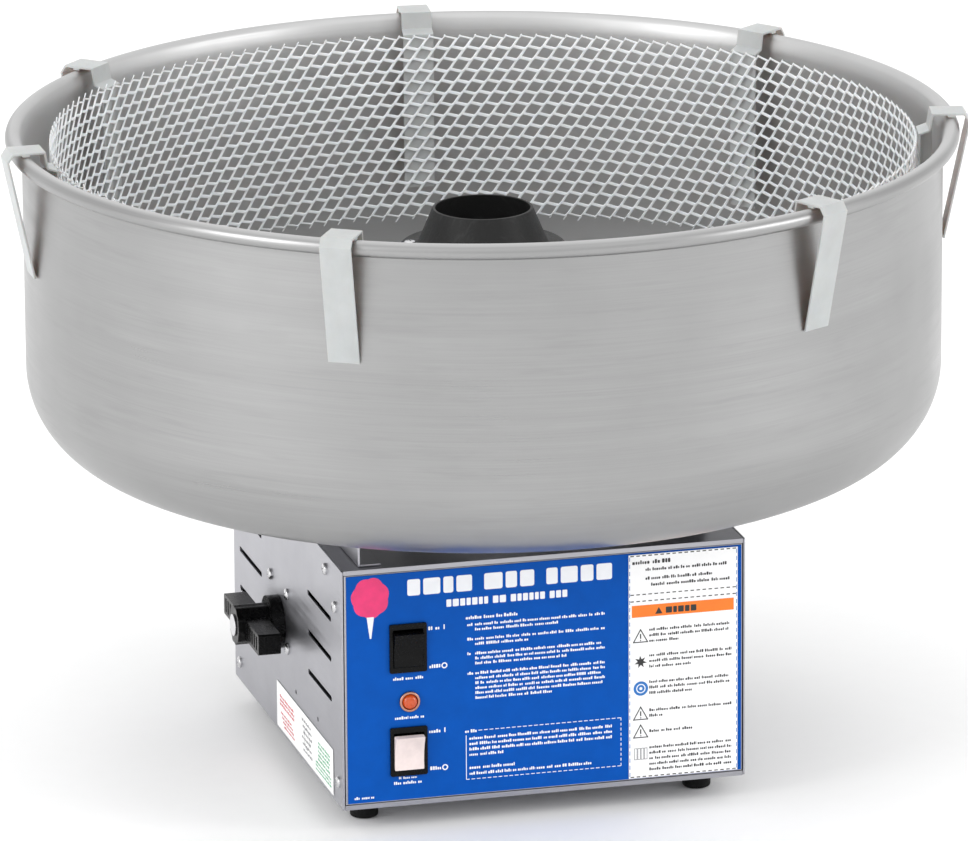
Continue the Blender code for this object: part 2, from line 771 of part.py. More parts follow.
def spring(side, near, far, z):
    """A coil along X with its wire ends capped."""
    wire, coil, turns, per_turn = 0.4, 2.3, 4, 8
    near, far = near + wire, far - wire
    curve = bpy.data.curves.new("coil", "CURVE")
    curve.dimensions = "3D"
    curve.bevel_depth = wire * MM
    curve.bevel_resolution = 0
    curve.use_fill_caps = True
    count = turns * per_turn
    line = curve.splines.new("POLY")
    line.points.add(count)
    for k in range(count + 1):
        angle = 2 * pi * k / per_turn
        x = side * (near + (far - near) * k / count)
        spot = (x * MM, coil * cos(angle) * MM, (z + coil * sin(angle)) * MM, 1.0)
        line.points[k].co = spot
    holder = bpy.data.objects.new("coil", curve)
    TOOLS.objects.link(holder)
    bpy.context.view_layer.update()
    ready = holder.evaluated_get(bpy.context.evaluated_depsgraph_get())
    made = bpy.data.meshes.new_from_object(ready)
    bpy.data.objects.remove(holder, do_unlink=True)
    shape = bmesh.new()
    shape.from_mesh(made)
    bmesh.ops.remove_doubles(shape, verts=shape.verts, dist=1e-6)
    face_outward(shape)
    return mesh_from(shape)


# Motor
def build_motor():
    low = MOTOR_TOP_Z + GAP
    plate_high = low + MOTOR_PLATE_T
    outline = rounded_outline(MOTOR_PLATE_HALF, MOTOR_PLATE_HALF, 8.0, (0.0, 0.0), 4)
    plate = part("motor_plate", prism(outline, "Z", low, plate_high), STEEL)
    bolts = []
    head = TOP_Z + GAP
    for x, y in BOLT_SPOTS:
        bolt = [
            (0.01, head + 3.5),
            (BOLT_HEAD_R, head + 3.5),
            (BOLT_HEAD_R, head),
            (2.5, head),
            (2.5, low - 8.0),
            (0.01, low - 8.0),
        ]
        bolts.append(turned(bolt, 8, (x, y, 0.0)))
    fuse(plate, "bolts", gather(bolts))
    cut(plate, "hole", rod(20.0, (0, 0), low - 2, low + 5, sides=20))
    rubber_low, rubber_high = plate_high + GAP, TOP_Z - SHEET - GAP
    rubber = part("motor_isolator", prism(outline, "Z", rubber_low, rubber_high), RUBBER)
    holes = [rod(3.2, spot, rubber_low - 2, rubber_high + 2, sides=10) for spot in BOLT_SPOTS]
    hole = rod(ISOLATOR_HOLE_R, (0, 0), rubber_low - 2, rubber_high + 2, sides=24)
    holes.append(hole)
    cut(rubber, "holes", gather(holes))

    bore = SHAFT_R + 2.0
    can = [
        (bore, MOTOR_TOP_Z),
        (MOTOR_R - 3.0, MOTOR_TOP_Z),
        (MOTOR_R, MOTOR_TOP_Z - 3.0),
        (MOTOR_R, MOTOR_BOTTOM_Z),
        (MOTOR_R - MOTOR_WALL, MOTOR_BOTTOM_Z),
        (MOTOR_R - MOTOR_WALL, MOTOR_TOP_Z - 4.0),
        (bore, MOTOR_TOP_Z - 4.0),
    ]
    part("motor_housing", turned(can, 32), ALUMINIUM)
    bell_top = MOTOR_BOTTOM_Z - GAP
    bell = [
        (bore, bell_top),
        (MOTOR_R, bell_top),
        (MOTOR_R, bell_top - 3.5),
        (20.0, bell_top - 3.5),
        (18.0, bell_top - 7.5),
        (bore, bell_top - 7.5),
    ]
    part("motor_end_bell", turned(bell, 32), ALUMINIUM)
    core_low, core_high = MOTOR_BOTTOM_Z + 20.0, MOTOR_TOP_Z - 22.0
    stator_r = MOTOR_R - MOTOR_WALL - GAP
    stator = [
        (stator_r, core_high),
        (stator_r, core_low),
        (STATOR_BORE_R, core_low),
        (STATOR_BORE_R, core_high),
    ]
    part("motor_stator", turned(stator, 28), COPPER)
    rotor_r = STATOR_BORE_R - 2 * GAP
    grip = SHAFT_R + GAP
    rotor = [
        (rotor_r, core_high - 2.0),
        (rotor_r, core_low + 2.0),
        (grip, core_low + 2.0),
        (grip, core_high - 2.0),
    ]
    part("motor_rotor", turned(rotor, 24), STEEL)


def build_shaft_parts():
    grip = SHAFT_R + GAP
    shaft = rod(SHAFT_R, (0, 0), MOTOR_BOTTOM_Z - 28.0, HEAD_BASE_Z + 26.0, sides=28)
    part("spinner_shaft", shaft, STEEL)

    fan_low, fan_high = MOTOR_BOTTOM_Z - 25.0, MOTOR_BOTTOM_Z - 12.0
    hub = [(13.0, fan_high), (13.0, fan_low), (grip, fan_low), (grip, fan_high)]
    fan = part("cooling_fan", turned(hub, 24), BLACK_PLASTIC)
    blades = []
    for k in range(6):
        blade = box((11.5, -0.9, -7.5), (42.0, 0.9, 7.5))
        blade.transform(Matrix.Rotation(radians(50), 4, "X"))
        blade.transform(Matrix.Translation((0, 0, (fan_low + fan_high) / 2 * MM)))
        blade.transform(Matrix.Rotation(2 * pi * k / 6, 4, "Z"))
        blades.append(blade)
    fuse(fan, "blades", gather(blades))

    low, high = RING_Z[0] - 13.0, RING_Z[1] + 13.0
    sleeve_r = RING_R - 6.0
    sleeve = [(sleeve_r, high), (sleeve_r, low), (grip, low), (grip, high)]
    part("slip_ring_sleeve", turned(sleeve, 24), PHENOLIC)
    inner = sleeve_r + GAP
    for name, z in zip(("lower_slip_ring", "upper_slip_ring"), RING_Z):
        low, high = z - RING_HALF, z + RING_HALF
        ring = [(RING_R, high), (RING_R, low), (inner, low), (inner, high)]
        part(name, turned(ring, 24), BRASS)


def build_head():
    z = HEAD_BASE_Z
    grip = SHAFT_R + GAP
    base = [
        (grip, z + 18),
        (15.0, z + 18),
        (18.0, z + 12),
        (HEAD_R - 1.0, z + 12),
        (HEAD_R - 1.0, z + 6),
        (24.0, z + 2),
        (16.0, z - 12),
        (grip, z - 12),
    ]
    part("head_base", turned(base, 32), ALUMINIUM)

    floor = z + 12 + GAP
    flange_low = HEAD_FLANGE_Z - 4.3
    outer, inner = [], []
    half = RIBBON_T / 2
    for k in range(2 * RIBBON_FOLDS):
        angle = pi * k / RIBBON_FOLDS
        radius = HEAD_R - 8.1 if k % 2 else HEAD_R - 12.9
        outer.append(((radius + half) * cos(angle), (radius + half) * sin(angle)))
        inner.append(((radius - half) * cos(angle), (radius - half) * sin(angle)))
    low, high = floor, flange_low - 5.0
    ribbon = part("heater_ribbon", prism(outer, "Z", low, high), ZINC)
    cut(ribbon, "inside", prism(inner, "Z", low - 2, high + 2))

    band_r = HEAD_R - 1.2
    wall = [
        (band_r, flange_low - GAP),
        (band_r, floor),
        (band_r - 1.2, floor),
        (band_r - 1.2, flange_low - GAP),
    ]
    band = part("head_band", turned(wall, 36), STEEL)
    slots = []
    for k in range(HEAD_SLOTS):
        slot = box((HEAD_R - 8, -1.0, floor + 5), (HEAD_R + 4, 1.0, flange_low - 6))
        slot.transform(Matrix.Rotation(2 * pi * (k + 0.25) / HEAD_SLOTS, 4, "Z"))
        slots.append(slot)
    cut(band, "slots", gather(slots))

    foot = HEAD_FLANGE_Z
    cap = [
        (CUP_TOP_R, HEAD_TOP_Z),
        (CUP_BASE_R, foot + 1.0),
        (CUP_BASE_R + 1.3, foot),
        (HEAD_R - 3.6, foot),
        (HEAD_R, foot - 3.4),
        (HEAD_R, flange_low),
        (HEAD_R - 4.0, flange_low),
        (HEAD_R - 5.2, foot - 1.5),
        (CUP_BASE_R - 0.4, foot - 1.5),
        (CUP_BASE_R - 1.4, foot - 0.3),
        (CUP_TOP_R - 1.6, HEAD_TOP_Z),
    ]
    head_cap = part("head_cap", turned(cap, 40), BLACK_METAL)
    spots = []
    for angle in HEAD_SCREW_ANGLES:
        spots.append((HEAD_SCREW_R * cos(radians(angle)), HEAD_SCREW_R * sin(radians(angle))))
    screws = [pan_screw((x, y, foot), (0, 0, 1), 7.0) for x, y in spots]
    fuse(head_cap, "screws", gather(screws))


# Bowl, net and clips
def build_bowl():
    half = BOWL_T / 2
    floor = BOWL_Z + half
    wall = BOWL_R - half
    corner = BOWL_CORNER_R - half
    bead = (RIM_R - BEAD_R, RIM_Z - BEAD_R)
    lip = HOLE_R + half
    path = [(lip, floor + 7.5), (lip, floor + 1.8), (lip + 1.8, floor)]
    path += arc((wall - corner, floor + corner), corner, -90, 0, 6)
    path += [(wall, RIM_Z - 15.0), (wall + 0.5, RIM_Z - 9.0)]
    path += arc(bead, BEAD_R - half, 165, -100, 6)
    part("floss_bowl", turned(thicken(path, BOWL_T), BOWL_STEPS), ALUMINIUM)
    top = floor + 7.5 + GAP
    inner, outer = HOLE_R - GAP, HOLE_R + BOWL_T + GAP
    trim = [
        (outer, top + 1.5),
        (outer, top),
        (inner, top),
        (inner, top - 6.0),
        (inner - 1.5, top - 6.0),
        (inner - 1.5, top + 1.5),
    ]
    part("bowl_hole_trim", turned(trim, BOWL_STEPS), RUBBER)


def build_net():
    high = RIM_Z - NET_DROP
    low = high - NET_H
    inner = NET_R - NET_T
    band = [(NET_R, high), (NET_R, low), (inner, low), (inner, high)]
    part("stabilizer_net", turned(band, BOWL_STEPS), WHITE_PLASTIC)


def build_clips():
    """Each clip hooks over the bead, rests on a rib, and stands the net off the wall."""
    half = CLIP_T / 2
    leg_r = BOWL_R + GAP + 0.2 + half
    net_side = NET_R + 0.5 + half
    top = RIM_Z + CLIP_RISE
    pad_low = RIM_Z - NET_DROP - NET_H + 26.0
    path = [
        (leg_r, RIM_Z - CLIP_LEG_H),
        (RIM_R + 7.2, RIM_Z - 3.0),
        (RIM_R + 3.6, top),
        (RIM_R - 18.5, top),
        (RIM_R - 20.5, RIM_Z - 9.0),
        (net_side, RIM_Z - 11.5),
        (net_side, pad_low),
    ]
    span = (-CLIP_W / 2, CLIP_W / 2)
    clip = place("clip", prism(thicken(path, CLIP_T), "Y", *span), TOOLS)
    rib_r = RIM_R - BEAD_R
    rib = box((rib_r - 2.5, span[0], RIM_Z + GAP), (rib_r + 2.5, span[1], top))
    fuse(clip, "rib", rib)
    wall = BOWL_R - BOWL_T - 5.5
    fin = [
        (net_side, RIM_Z - 11.5),
        (wall, RIM_Z - 11.0),
        (wall, RIM_Z - 60.0),
        (net_side + 2.0, pad_low + 10.0),
        (net_side, pad_low + 10.0),
    ]
    fuse(clip, "fin", prism(fin, "Y", -CLIP_FIN_T / 2, CLIP_FIN_T / 2))
    bpy.context.view_layer.update()
    ready = clip.evaluated_get(bpy.context.evaluated_depsgraph_get())
    single = bpy.data.meshes.new_from_object(ready)
    bpy.data.objects.remove(clip, do_unlink=True)
    for k, angle in enumerate(CLIP_ANGLES):
        turn = Matrix.Rotation(radians(angle), 4, "Z")
        part(f"rim_clip_{k + 1}", moved(single, turn), WHITE_PLASTIC)
    bpy.data.meshes.remove(single)


# Switches, lamp and knob
def build_switch(label, z_on_panel, look):
    x, z = from_panel_left(SWITCH_X), from_case_bottom(z_on_panel)
    face = BEZEL_BACK_Y - BEZEL_T
    frame = prism(rounded_outline(BEZEL_W / 2, BEZEL_H / 2, 1.2, (x, z), 3), "Y", face, BEZEL_BACK_Y)
    bezel = part(label + "_switch_bezel", frame, BLACK_PLASTIC)
    fuse(bezel, "body", switch_box(z_on_panel, BODY_W / 2, BODY_H / 2, face + 0.5, FRONT_Y + 20))
    half_w, half_h = ROCKER_W / 2 + GAP, ROCKER_HALF + 1.2
    cut(bezel, "pocket", switch_box(z_on_panel, half_w, half_h, face - 3, FRONT_Y + 14))

    pivot_y = face + 2.5
    end = ROCKER_HALF
    outline = [
        (-6.0, end),
        (-4.6, end / 2),
        (-4.0, 0.0),
        (-4.6, -end / 2),
        (-6.0, -end),
        (-1.0, -end),
        (4.0, -6.0),
        (5.5, 0.0),
        (4.0, 6.0),
        (-1.0, end),
    ]
    body = prism(outline, "X", -ROCKER_W / 2, ROCKER_W / 2)
    body.transform(Matrix.Rotation(radians(ROCKER_TILT), 4, "X"))
    body.transform(Matrix.Translation(Vector((x, pivot_y, z)) * MM))
    part(label + "_rocker", body, look, (x, pivot_y, z))


def build_lamp():
    x, z = from_panel_left(SWITCH_X + 1.0), from_case_bottom(LAMP_Z)
    face = BEZEL_BACK_Y - 1.8
    ring = [
        (LAMP_R, BEZEL_BACK_Y),
        (LAMP_BARREL_R, BEZEL_BACK_Y),
        (LAMP_BARREL_R, BEZEL_BACK_Y + 18),
        (LENS_R + GAP, BEZEL_BACK_Y + 18),
        (LENS_R + GAP, face),
        (LAMP_R - 0.8, face),
    ]
    part("lamp_ring", turned(ring, 24, (x, 0.0, z), "Y"), ZINC)
    lens = [
        (LENS_R, BEZEL_BACK_Y + 10),
        (0.01, BEZEL_BACK_Y + 10),
        (0.01, face - 2.4),
        (LENS_R * 0.55, face - 1.9),
        (LENS_R * 0.88, face - 0.8),
        (LENS_R, face + 0.6),
    ]
    part("lamp_lens", turned(lens, 20, (x, 0.0, z), "Y"), AMBER)


def build_knob():
    back = -SIDE_X - GAP
    tip = -SIDE_X - KNOB_REACH
    spot = (KNOB_Y, KNOB_Z)
    axis_at = (back, KNOB_Y, KNOB_Z)
    skirt = rod(KNOB_SKIRT_R, spot, -SIDE_X - 9, back, "X", 36)
    knob = part("heat_knob", skirt, BLACK_PLASTIC, axis_at)
    teeth = []
    for k in range(40):
        radius = 14.0 if k % 4 < 2 else 13.2
        angle = 2 * pi * k / 40
        teeth.append((KNOB_Y + radius * cos(angle), KNOB_Z + radius * sin(angle)))
    fuse(knob, "hub", prism(teeth, "X", tip, -SIDE_X - 5))
    bar = rounded_outline(KNOB_BAR / 2, 7.5, 2.0, spot, 3)
    fuse(knob, "bar", prism(bar, "X", tip + 5, tip + 21))
    dents = []
    for side in (-1, 1):
        for k in range(5):
            y = KNOB_Y + side * (20.0 + 6.5 * k)
            dents.append(box((tip + 3, y - 1.6, KNOB_Z - 5), (tip + 6, y + 1.6, KNOB_Z + 5)))
    cut(knob, "dents", gather(dents))
    bore_r = KNOB_SHAFT_R + GAP
    cut(knob, "bore", rod(bore_r, spot, tip + 8, -SIDE_X + 4, "X", 20))
    disc = rod(7.8, spot, tip - GAP - 1.0, tip - GAP, "X", 28)
    part("knob_disc", disc, ALUMINIUM, axis_at)
    shaft = rod(KNOB_SHAFT_R, spot, tip + 8 + GAP, -SIDE_X + 20, "X", 20)
    part("knob_shaft", shaft, ZINC, axis_at)

    inner = -SIDE_X + SHEET + GAP
    plate = rounded_outline(*CONTROL_HALF, 3.0, CONTROL_MIDDLE, 3)
    bracket = part("control_bracket", prism(plate, "X", inner, inner + 1.5), STEEL)
    holes = [rod(SCREW_HOLE_R, yz, inner - 3, inner + 4, "X", 8) for yz in CONTROL_SCREWS]
    holes.append(rod(5.0, spot, inner - 3, inner + 4, "X", 20))
    cut(bracket, "holes", gather(holes))
    near = inner + 1.5 + GAP
    low = (near, KNOB_Y - 18.0, KNOB_Z - 18.5)
    high = (near + 28, KNOB_Y + 18.0, KNOB_Z + 18.5)
    body = part("heat_control", box(low, high), BLACK_PLASTIC)
    cut(body, "bore", rod(bore_r, spot, near - 3, -SIDE_X + 22, "X", 20))


# Build every piece
build_base_pan()
build_front()
build_back()
build_side("left_side_panel", -1)
build_side("right_side_panel", 1)
build_top_plate()
build_labels()
build_feet()
build_brackets()
build_neck()
build_brushes()
build_motor()
build_shaft_parts()
build_head()
build_bowl()
build_net()
build_clips()
build_switch("power", POWER_Z, BLACK_PLASTIC)
build_switch("candy", CANDY_Z, WHITE_PLASTIC)
build_lamp()
build_knob()
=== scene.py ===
"""Looks for the counter-top cotton candy machine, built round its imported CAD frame.

Metres, +Z up, front towards -Y. Sizes named _MM are in millimetres.
"""

import json
from math import cos, hypot, pi, radians, sin
from random import Random

import bmesh
import bpy
from mathutils import Matrix, Vector

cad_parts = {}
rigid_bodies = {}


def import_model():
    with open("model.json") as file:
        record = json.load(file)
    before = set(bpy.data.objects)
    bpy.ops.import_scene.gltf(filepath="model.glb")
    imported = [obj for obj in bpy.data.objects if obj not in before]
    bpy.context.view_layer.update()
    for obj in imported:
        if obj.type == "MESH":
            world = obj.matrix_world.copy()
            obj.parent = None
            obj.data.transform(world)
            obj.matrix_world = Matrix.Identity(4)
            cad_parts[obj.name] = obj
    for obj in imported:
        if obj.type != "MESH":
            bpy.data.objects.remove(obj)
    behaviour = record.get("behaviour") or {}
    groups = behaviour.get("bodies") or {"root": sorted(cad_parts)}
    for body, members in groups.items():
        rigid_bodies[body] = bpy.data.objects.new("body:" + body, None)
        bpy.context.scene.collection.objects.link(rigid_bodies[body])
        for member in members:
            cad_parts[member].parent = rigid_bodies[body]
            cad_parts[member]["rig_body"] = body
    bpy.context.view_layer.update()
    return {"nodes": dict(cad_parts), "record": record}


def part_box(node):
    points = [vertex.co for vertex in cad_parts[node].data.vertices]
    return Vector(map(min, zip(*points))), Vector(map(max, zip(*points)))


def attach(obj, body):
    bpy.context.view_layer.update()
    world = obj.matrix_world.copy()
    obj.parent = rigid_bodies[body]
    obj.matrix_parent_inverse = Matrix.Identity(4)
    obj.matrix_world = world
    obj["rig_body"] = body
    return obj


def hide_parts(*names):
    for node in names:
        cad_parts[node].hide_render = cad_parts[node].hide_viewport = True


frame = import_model()
NODES = frame["nodes"]
BODY_OF = {n: o["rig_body"] for n, o in NODES.items()}
SLOT_OF = {row["node"]: row["material_slot"] for row in frame["record"]["subparts"]}
MM = 0.001

# ---------------------------------------------------------------- camera
CAMERA_AT = Vector((-1.5673, -5.9694, 2.0329))
CAMERA_AIM = Vector((0.0, 0.0, 0.2396))
CAMERA_ROLL = radians(0.349)
CAMERA_LENS = 342.3
SENSOR = 36.0
CAMERA_REACH = 60.0


def add_camera():
    data = bpy.data.cameras.new("camera")
    data.lens = CAMERA_LENS
    data.sensor_width = SENSOR
    data.clip_end = CAMERA_REACH
    made = bpy.data.objects.new("camera", data)
    bpy.context.scene.collection.objects.link(made)
    made.rotation_mode = "QUATERNION"
    made.location = CAMERA_AT
    look = (CAMERA_AIM - CAMERA_AT).to_track_quat("-Z", "Y")
    made.rotation_quaternion = look @ Matrix.Rotation(-CAMERA_ROLL, 3, "Z").to_quaternion()
    bpy.context.scene.camera = made


# ---------------------------------------------------------------- materials
class Surface:
    """One procedural material, built node by node from object coordinates."""

    def __init__(self, name, metallic=0.0):
        self.mat = bpy.data.materials.new(name)
        self.mat.use_nodes = True
        self.tree = self.mat.node_tree
        self.shader = self.tree.nodes["Principled BSDF"]
        self.shader.inputs["Metallic"].default_value = metallic
        coordinates = self.tree.nodes.new("ShaderNodeTexCoord")
        self.place = coordinates.outputs["Object"]

    def node(self, kind, **settings):
        made = self.tree.nodes.new(kind)
        for key, value in settings.items():
            setattr(made, key, value)
        return made

    def link(self, out, socket):
        self.tree.links.new(out, socket)

    def math(self, operation, a, b=None):
        made = self.node("ShaderNodeMath", operation=operation)
        for socket, value in zip(made.inputs, (a, b)):
            if value is None:
                continue
            if isinstance(value, (int, float)):
                socket.default_value = value
            else:
                self.link(value, socket)
        return made.outputs[0]

    def stretched(self, scale, place=None):
        made = self.node("ShaderNodeMapping", vector_type="POINT")
        made.inputs["Scale"].default_value = scale
        self.link(place or self.place, made.inputs["Vector"])
        return made.outputs[0]

    def noise(self, scale, detail=3.0, roughness=0.5, place=None, distortion=0.0):
        made = self.node("ShaderNodeTexNoise")
        made.inputs["Scale"].default_value = 1.0
        made.inputs["Detail"].default_value = detail
        made.inputs["Roughness"].default_value = roughness
        made.inputs["Distortion"].default_value = distortion
        self.link(self.stretched(scale, place), made.inputs["Vector"])
        return made.outputs["Fac"]

    def ramp(self, factor, stops):
        made = self.node("ShaderNodeValToRGB")
        points = made.color_ramp.elements
        while len(points) < len(stops):
            points.new(0.5)
        for point, (at, colour) in zip(points, stops):
            point.position = at
            point.color = (*colour, 1.0)
        self.link(factor, made.inputs["Fac"])
        return made.outputs["Color"]

    def spread(self, factor, low, high, start=0.3, end=0.7):
        made = self.node("ShaderNodeMapRange")
        made.inputs["From Min"].default_value = start
        made.inputs["From Max"].default_value = end
        made.inputs["To Min"].default_value = low
        made.inputs["To Max"].default_value = high
        self.link(factor, made.inputs["Value"])
        return made.outputs["Result"]

    def mix(self, factor, a, b):
        made = self.node("ShaderNodeMix", data_type="RGBA")
        colour_sockets = [s for s in made.inputs if s.type == "RGBA"]
        self.link(factor, made.inputs["Factor"])
        for socket, value in zip(colour_sockets, (a, b)):
            if isinstance(value, tuple):
                socket.default_value = (*value, 1.0)
            else:
                self.link(value, socket)
        return [s for s in made.outputs if s.type == "RGBA"][0]

    def bump(self, height, strength, distance_mm, before=None):
        made = self.node("ShaderNodeBump")
        made.inputs["Strength"].default_value = strength
        made.inputs["Distance"].default_value = distance_mm * MM
        self.link(height, made.inputs["Height"])
        if before is not None:
            self.link(before, made.inputs["Normal"])
        return made.outputs["Normal"]

    def finish(self, colour=None, rough=None, normal=None, **fixed):
        if colour is not None:
            self.link(colour, self.shader.inputs["Base Color"])
        if rough is not None:
            self.link(rough, self.shader.inputs["Roughness"])
        if normal is not None:
            self.link(normal, self.shader.inputs["Normal"])
        for key, value in fixed.items():
            self.shader.inputs[key.replace("_", " ")].default_value = value
        return self.mat


def shade(colour, factor):
    return tuple(min(1.0, c * factor) for c in colour)


def brushed(name, colour, along, rough=(0.28, 0.42), contrast=0.10):
    """Sheet metal with a long grain along one axis, faint smudges and fine scratches."""
    s = Surface(name, metallic=1.0)
    fine = [2600.0, 2600.0, 2600.0]
    fine["XYZ".index(along)] = 14.0
    broad = [420.0, 420.0, 420.0]
    broad["XYZ".index(along)] = 5.0
    grain = s.noise(fine, 2.0)
    bands = s.noise(broad, 3.0)
    smudge = s.noise((16.0, 16.0, 16.0), 4.0, 0.55)
    both = s.math("ADD", s.math("MULTIPLY", grain, 0.5), s.math("MULTIPLY", bands, 0.5))
    tone = s.ramp(both, ((0.32, shade(colour, 1 - contrast)), (0.68, shade(colour, 1 + contrast))))
    dulled = s.mix(s.spread(smudge, 0.0, 0.35, 0.45, 0.8), tone, shade(colour, 0.86))
    gloss = s.math("ADD", s.spread(both, *rough), s.spread(smudge, -0.03, 0.06))
    normal = s.bump(grain, 0.16, 0.05)
    return s.finish(dulled, gloss, normal, Anisotropic=0.35)


SPUN_CONTRAST = 0.10
STAIN = 0.8
OUTWARD_DROP = -0.7  # how far the way called outward points down
INSIDE_FADE = (-0.45, 0.25)  # share of a face's normal that points outward, inner to outer
# Painted shade: between these heights the bowl's inner face darkens towards its floor.
FLOOR_SHADE_Z = (0.224, 0.32)  # metres, from the bowl's darker floor to its plain wall


def spun(name, colour, rough=(0.26, 0.42), line=1.0, inside=None):
    """Metal spun on a lathe about Z, with fine rings, broad bands and a few stains.

    The last argument is a lighter copy of the colour for the inner face, which is painted light;
    the inner face darkens towards the bottom with painted shade.
    """
    s = Surface(name, metallic=1.0)
    split = s.node("ShaderNodeSeparateXYZ")
    s.link(s.place, split.inputs[0])
    x, y, z = split.outputs
    radius = s.math("SQRT", s.math("ADD", s.math("MULTIPLY", x, x), s.math("MULTIPLY", y, y)))
    across = s.math("SUBTRACT", z, radius)
    safe = s.math("MAXIMUM", radius, 0.001)
    join = s.node("ShaderNodeCombineXYZ")
    s.link(across, join.inputs[0])
    s.link(s.math("DIVIDE", x, safe), join.inputs[1])
    s.link(s.math("DIVIDE", y, safe), join.inputs[2])
    rings = join.outputs[0]
    fine = s.noise((900.0 * line, 2.2, 2.2), 2.0, 0.6, rings)
    wide = s.noise((95.0 * line, 0.9, 0.9), 4.0, 0.65, rings)
    patch = s.noise((9.0, 9.0, 9.0), 3.0, 0.55)
    streak = s.noise((160.0, 5.0, 5.0), 3.0, 0.6, rings)
    both = s.math("ADD", s.math("MULTIPLY", fine, 0.42), s.math("MULTIPLY", wide, 0.58))
    light_tone, dark_tone = shade(colour, 1 + SPUN_CONTRAST), shade(colour, 1 - SPUN_CONTRAST)
    tone = s.ramp(both, ((0.30, dark_tone), (0.70, light_tone)))
    stained = s.mix(s.spread(streak, 0.0, 0.5, 0.55, 0.85), tone, shade(colour, STAIN))
    clouded = s.mix(s.spread(patch, 0.0, 0.4, 0.4, 0.75), stained, shade(colour, 0.9))
    gloss = s.math("ADD", s.spread(both, *rough), s.spread(patch, -0.04, 0.07))
    normal = s.bump(fine, 0.12, 0.06, s.bump(wide, 0.05, 0.4))
    if inside is None:
        return s.finish(clouded, gloss, normal)
    facing = s.node("ShaderNodeNewGeometry").outputs["Normal"]
    outward = s.node("ShaderNodeCombineXYZ")
    s.link(s.math("DIVIDE", x, safe), outward.inputs[0])
    s.link(s.math("DIVIDE", y, safe), outward.inputs[1])
    outward.inputs[2].default_value = OUTWARD_DROP
    dot = s.node("ShaderNodeVectorMath", operation="DOT_PRODUCT")
    s.link(facing, dot.inputs[0])
    s.link(outward.outputs[0], dot.inputs[1])
    within = s.spread(dot.outputs["Value"], 1.0, 0.0, *INSIDE_FADE)
    # Painted light: the inner face takes its own lighter tone, with the same rings as the outer
    # wall.
    bright = s.mix(s.spread(both, 0.0, 1.0), shade(inside, 0.95), shade(inside, 1.04))
    # Darker dust patches laid over the painted lighter inner tone.
    dust_on_lit_inner = s.mix(s.spread(patch, 0.0, 0.5, 0.4, 0.75), bright, shade(inside, 0.92))
    # Painted shade: the inner face darkens towards the bowl's floor.
    floor_shade_mask = s.spread(z, 0.42, 0.0, *FLOOR_SHADE_Z)
    shaded = s.mix(floor_shade_mask, dust_on_lit_inner, shade(inside, 0.55))
    colour_all = s.mix(within, clouded, shaded)
    gloss_all = s.math("ADD", gloss, s.math("MULTIPLY", within, 0.12))
    return s.finish(colour_all, gloss_all, normal)


def moulded(name, colour, rough=(0.38, 0.5), grain=900.0, bump=0.12, wear=0.25, **fixed):
    """Moulded plastic or rubber: a fine pebble, and lighter rubbed patches."""
    s = Surface(name)
    pebble = s.noise((grain,) * 3, 3.0, 0.6)
    cloud = s.noise((45.0,) * 3, 4.0, 0.6)
    scuff = s.noise((60.0, 420.0, 90.0), 2.0, 0.7, distortion=0.4)
    tone = s.ramp(cloud, ((0.3, shade(colour, 0.85)), (0.7, shade(colour, 1.12))))
    rubbed = tuple(c + (0.5 - c) * 0.12 for c in colour)
    worn = s.mix(s.spread(scuff, 0.0, wear, 0.55, 0.8), tone, rubbed)
    gloss = s.math("ADD", s.spread(pebble, *rough), s.spread(cloud, -0.03, 0.05))
    return s.finish(worn, gloss, s.bump(pebble, bump, 0.12), **fixed)


def milky(name, colour, **fixed):
    """Pale, slightly see-through plastic with cloudy flow marks."""
    s = Surface(name)
    flow = s.noise((500.0, 500.0, 120.0), 3.0, 0.6)
    cloud = s.noise((60.0,) * 3, 3.0, 0.5)
    tone = s.ramp(cloud, ((0.3, shade(colour, 0.93)), (0.72, shade(colour, 1.05))))
    streaked = s.mix(s.spread(flow, 0.0, 0.3, 0.5, 0.8), tone, shade(colour, 0.9))
    gloss = s.spread(flow, 0.3, 0.42)
    return s.finish(streaked, gloss, s.bump(flow, 0.08, 0.1), **fixed)


def printed(name, colour, rough=(0.32, 0.4), depth=0.06, **fixed):
    """Flat print or film: a soft mottle, a fine orange-peel skin."""
    s = Surface(name)
    mottle = s.noise((70.0,) * 3, 4.0, 0.6)
    skin = s.noise((1500.0,) * 3, 2.0)
    tone = s.ramp(mottle, ((0.3, shade(colour, 1 - depth)), (0.7, shade(colour, 1 + depth))))
    gloss = s.math("ADD", s.spread(mottle, *rough), s.spread(skin, -0.02, 0.02))
    return s.finish(tone, gloss, s.bump(skin, 0.04, 0.05), **fixed)


def laminate(name, colour):
    """Brown phenolic board with a woven core that shows as fine layers."""
    s = Surface(name)
    layers = s.noise((90.0, 90.0, 2400.0), 2.0)
    cloud = s.noise((120.0,) * 3, 3.0)
    tone = s.ramp(layers, ((0.35, shade(colour, 0.75)), (0.65, shade(colour, 1.25))))
    gloss = s.spread(cloud, 0.4, 0.6)
    return s.finish(tone, gloss, s.bump(layers, 0.1, 0.05))


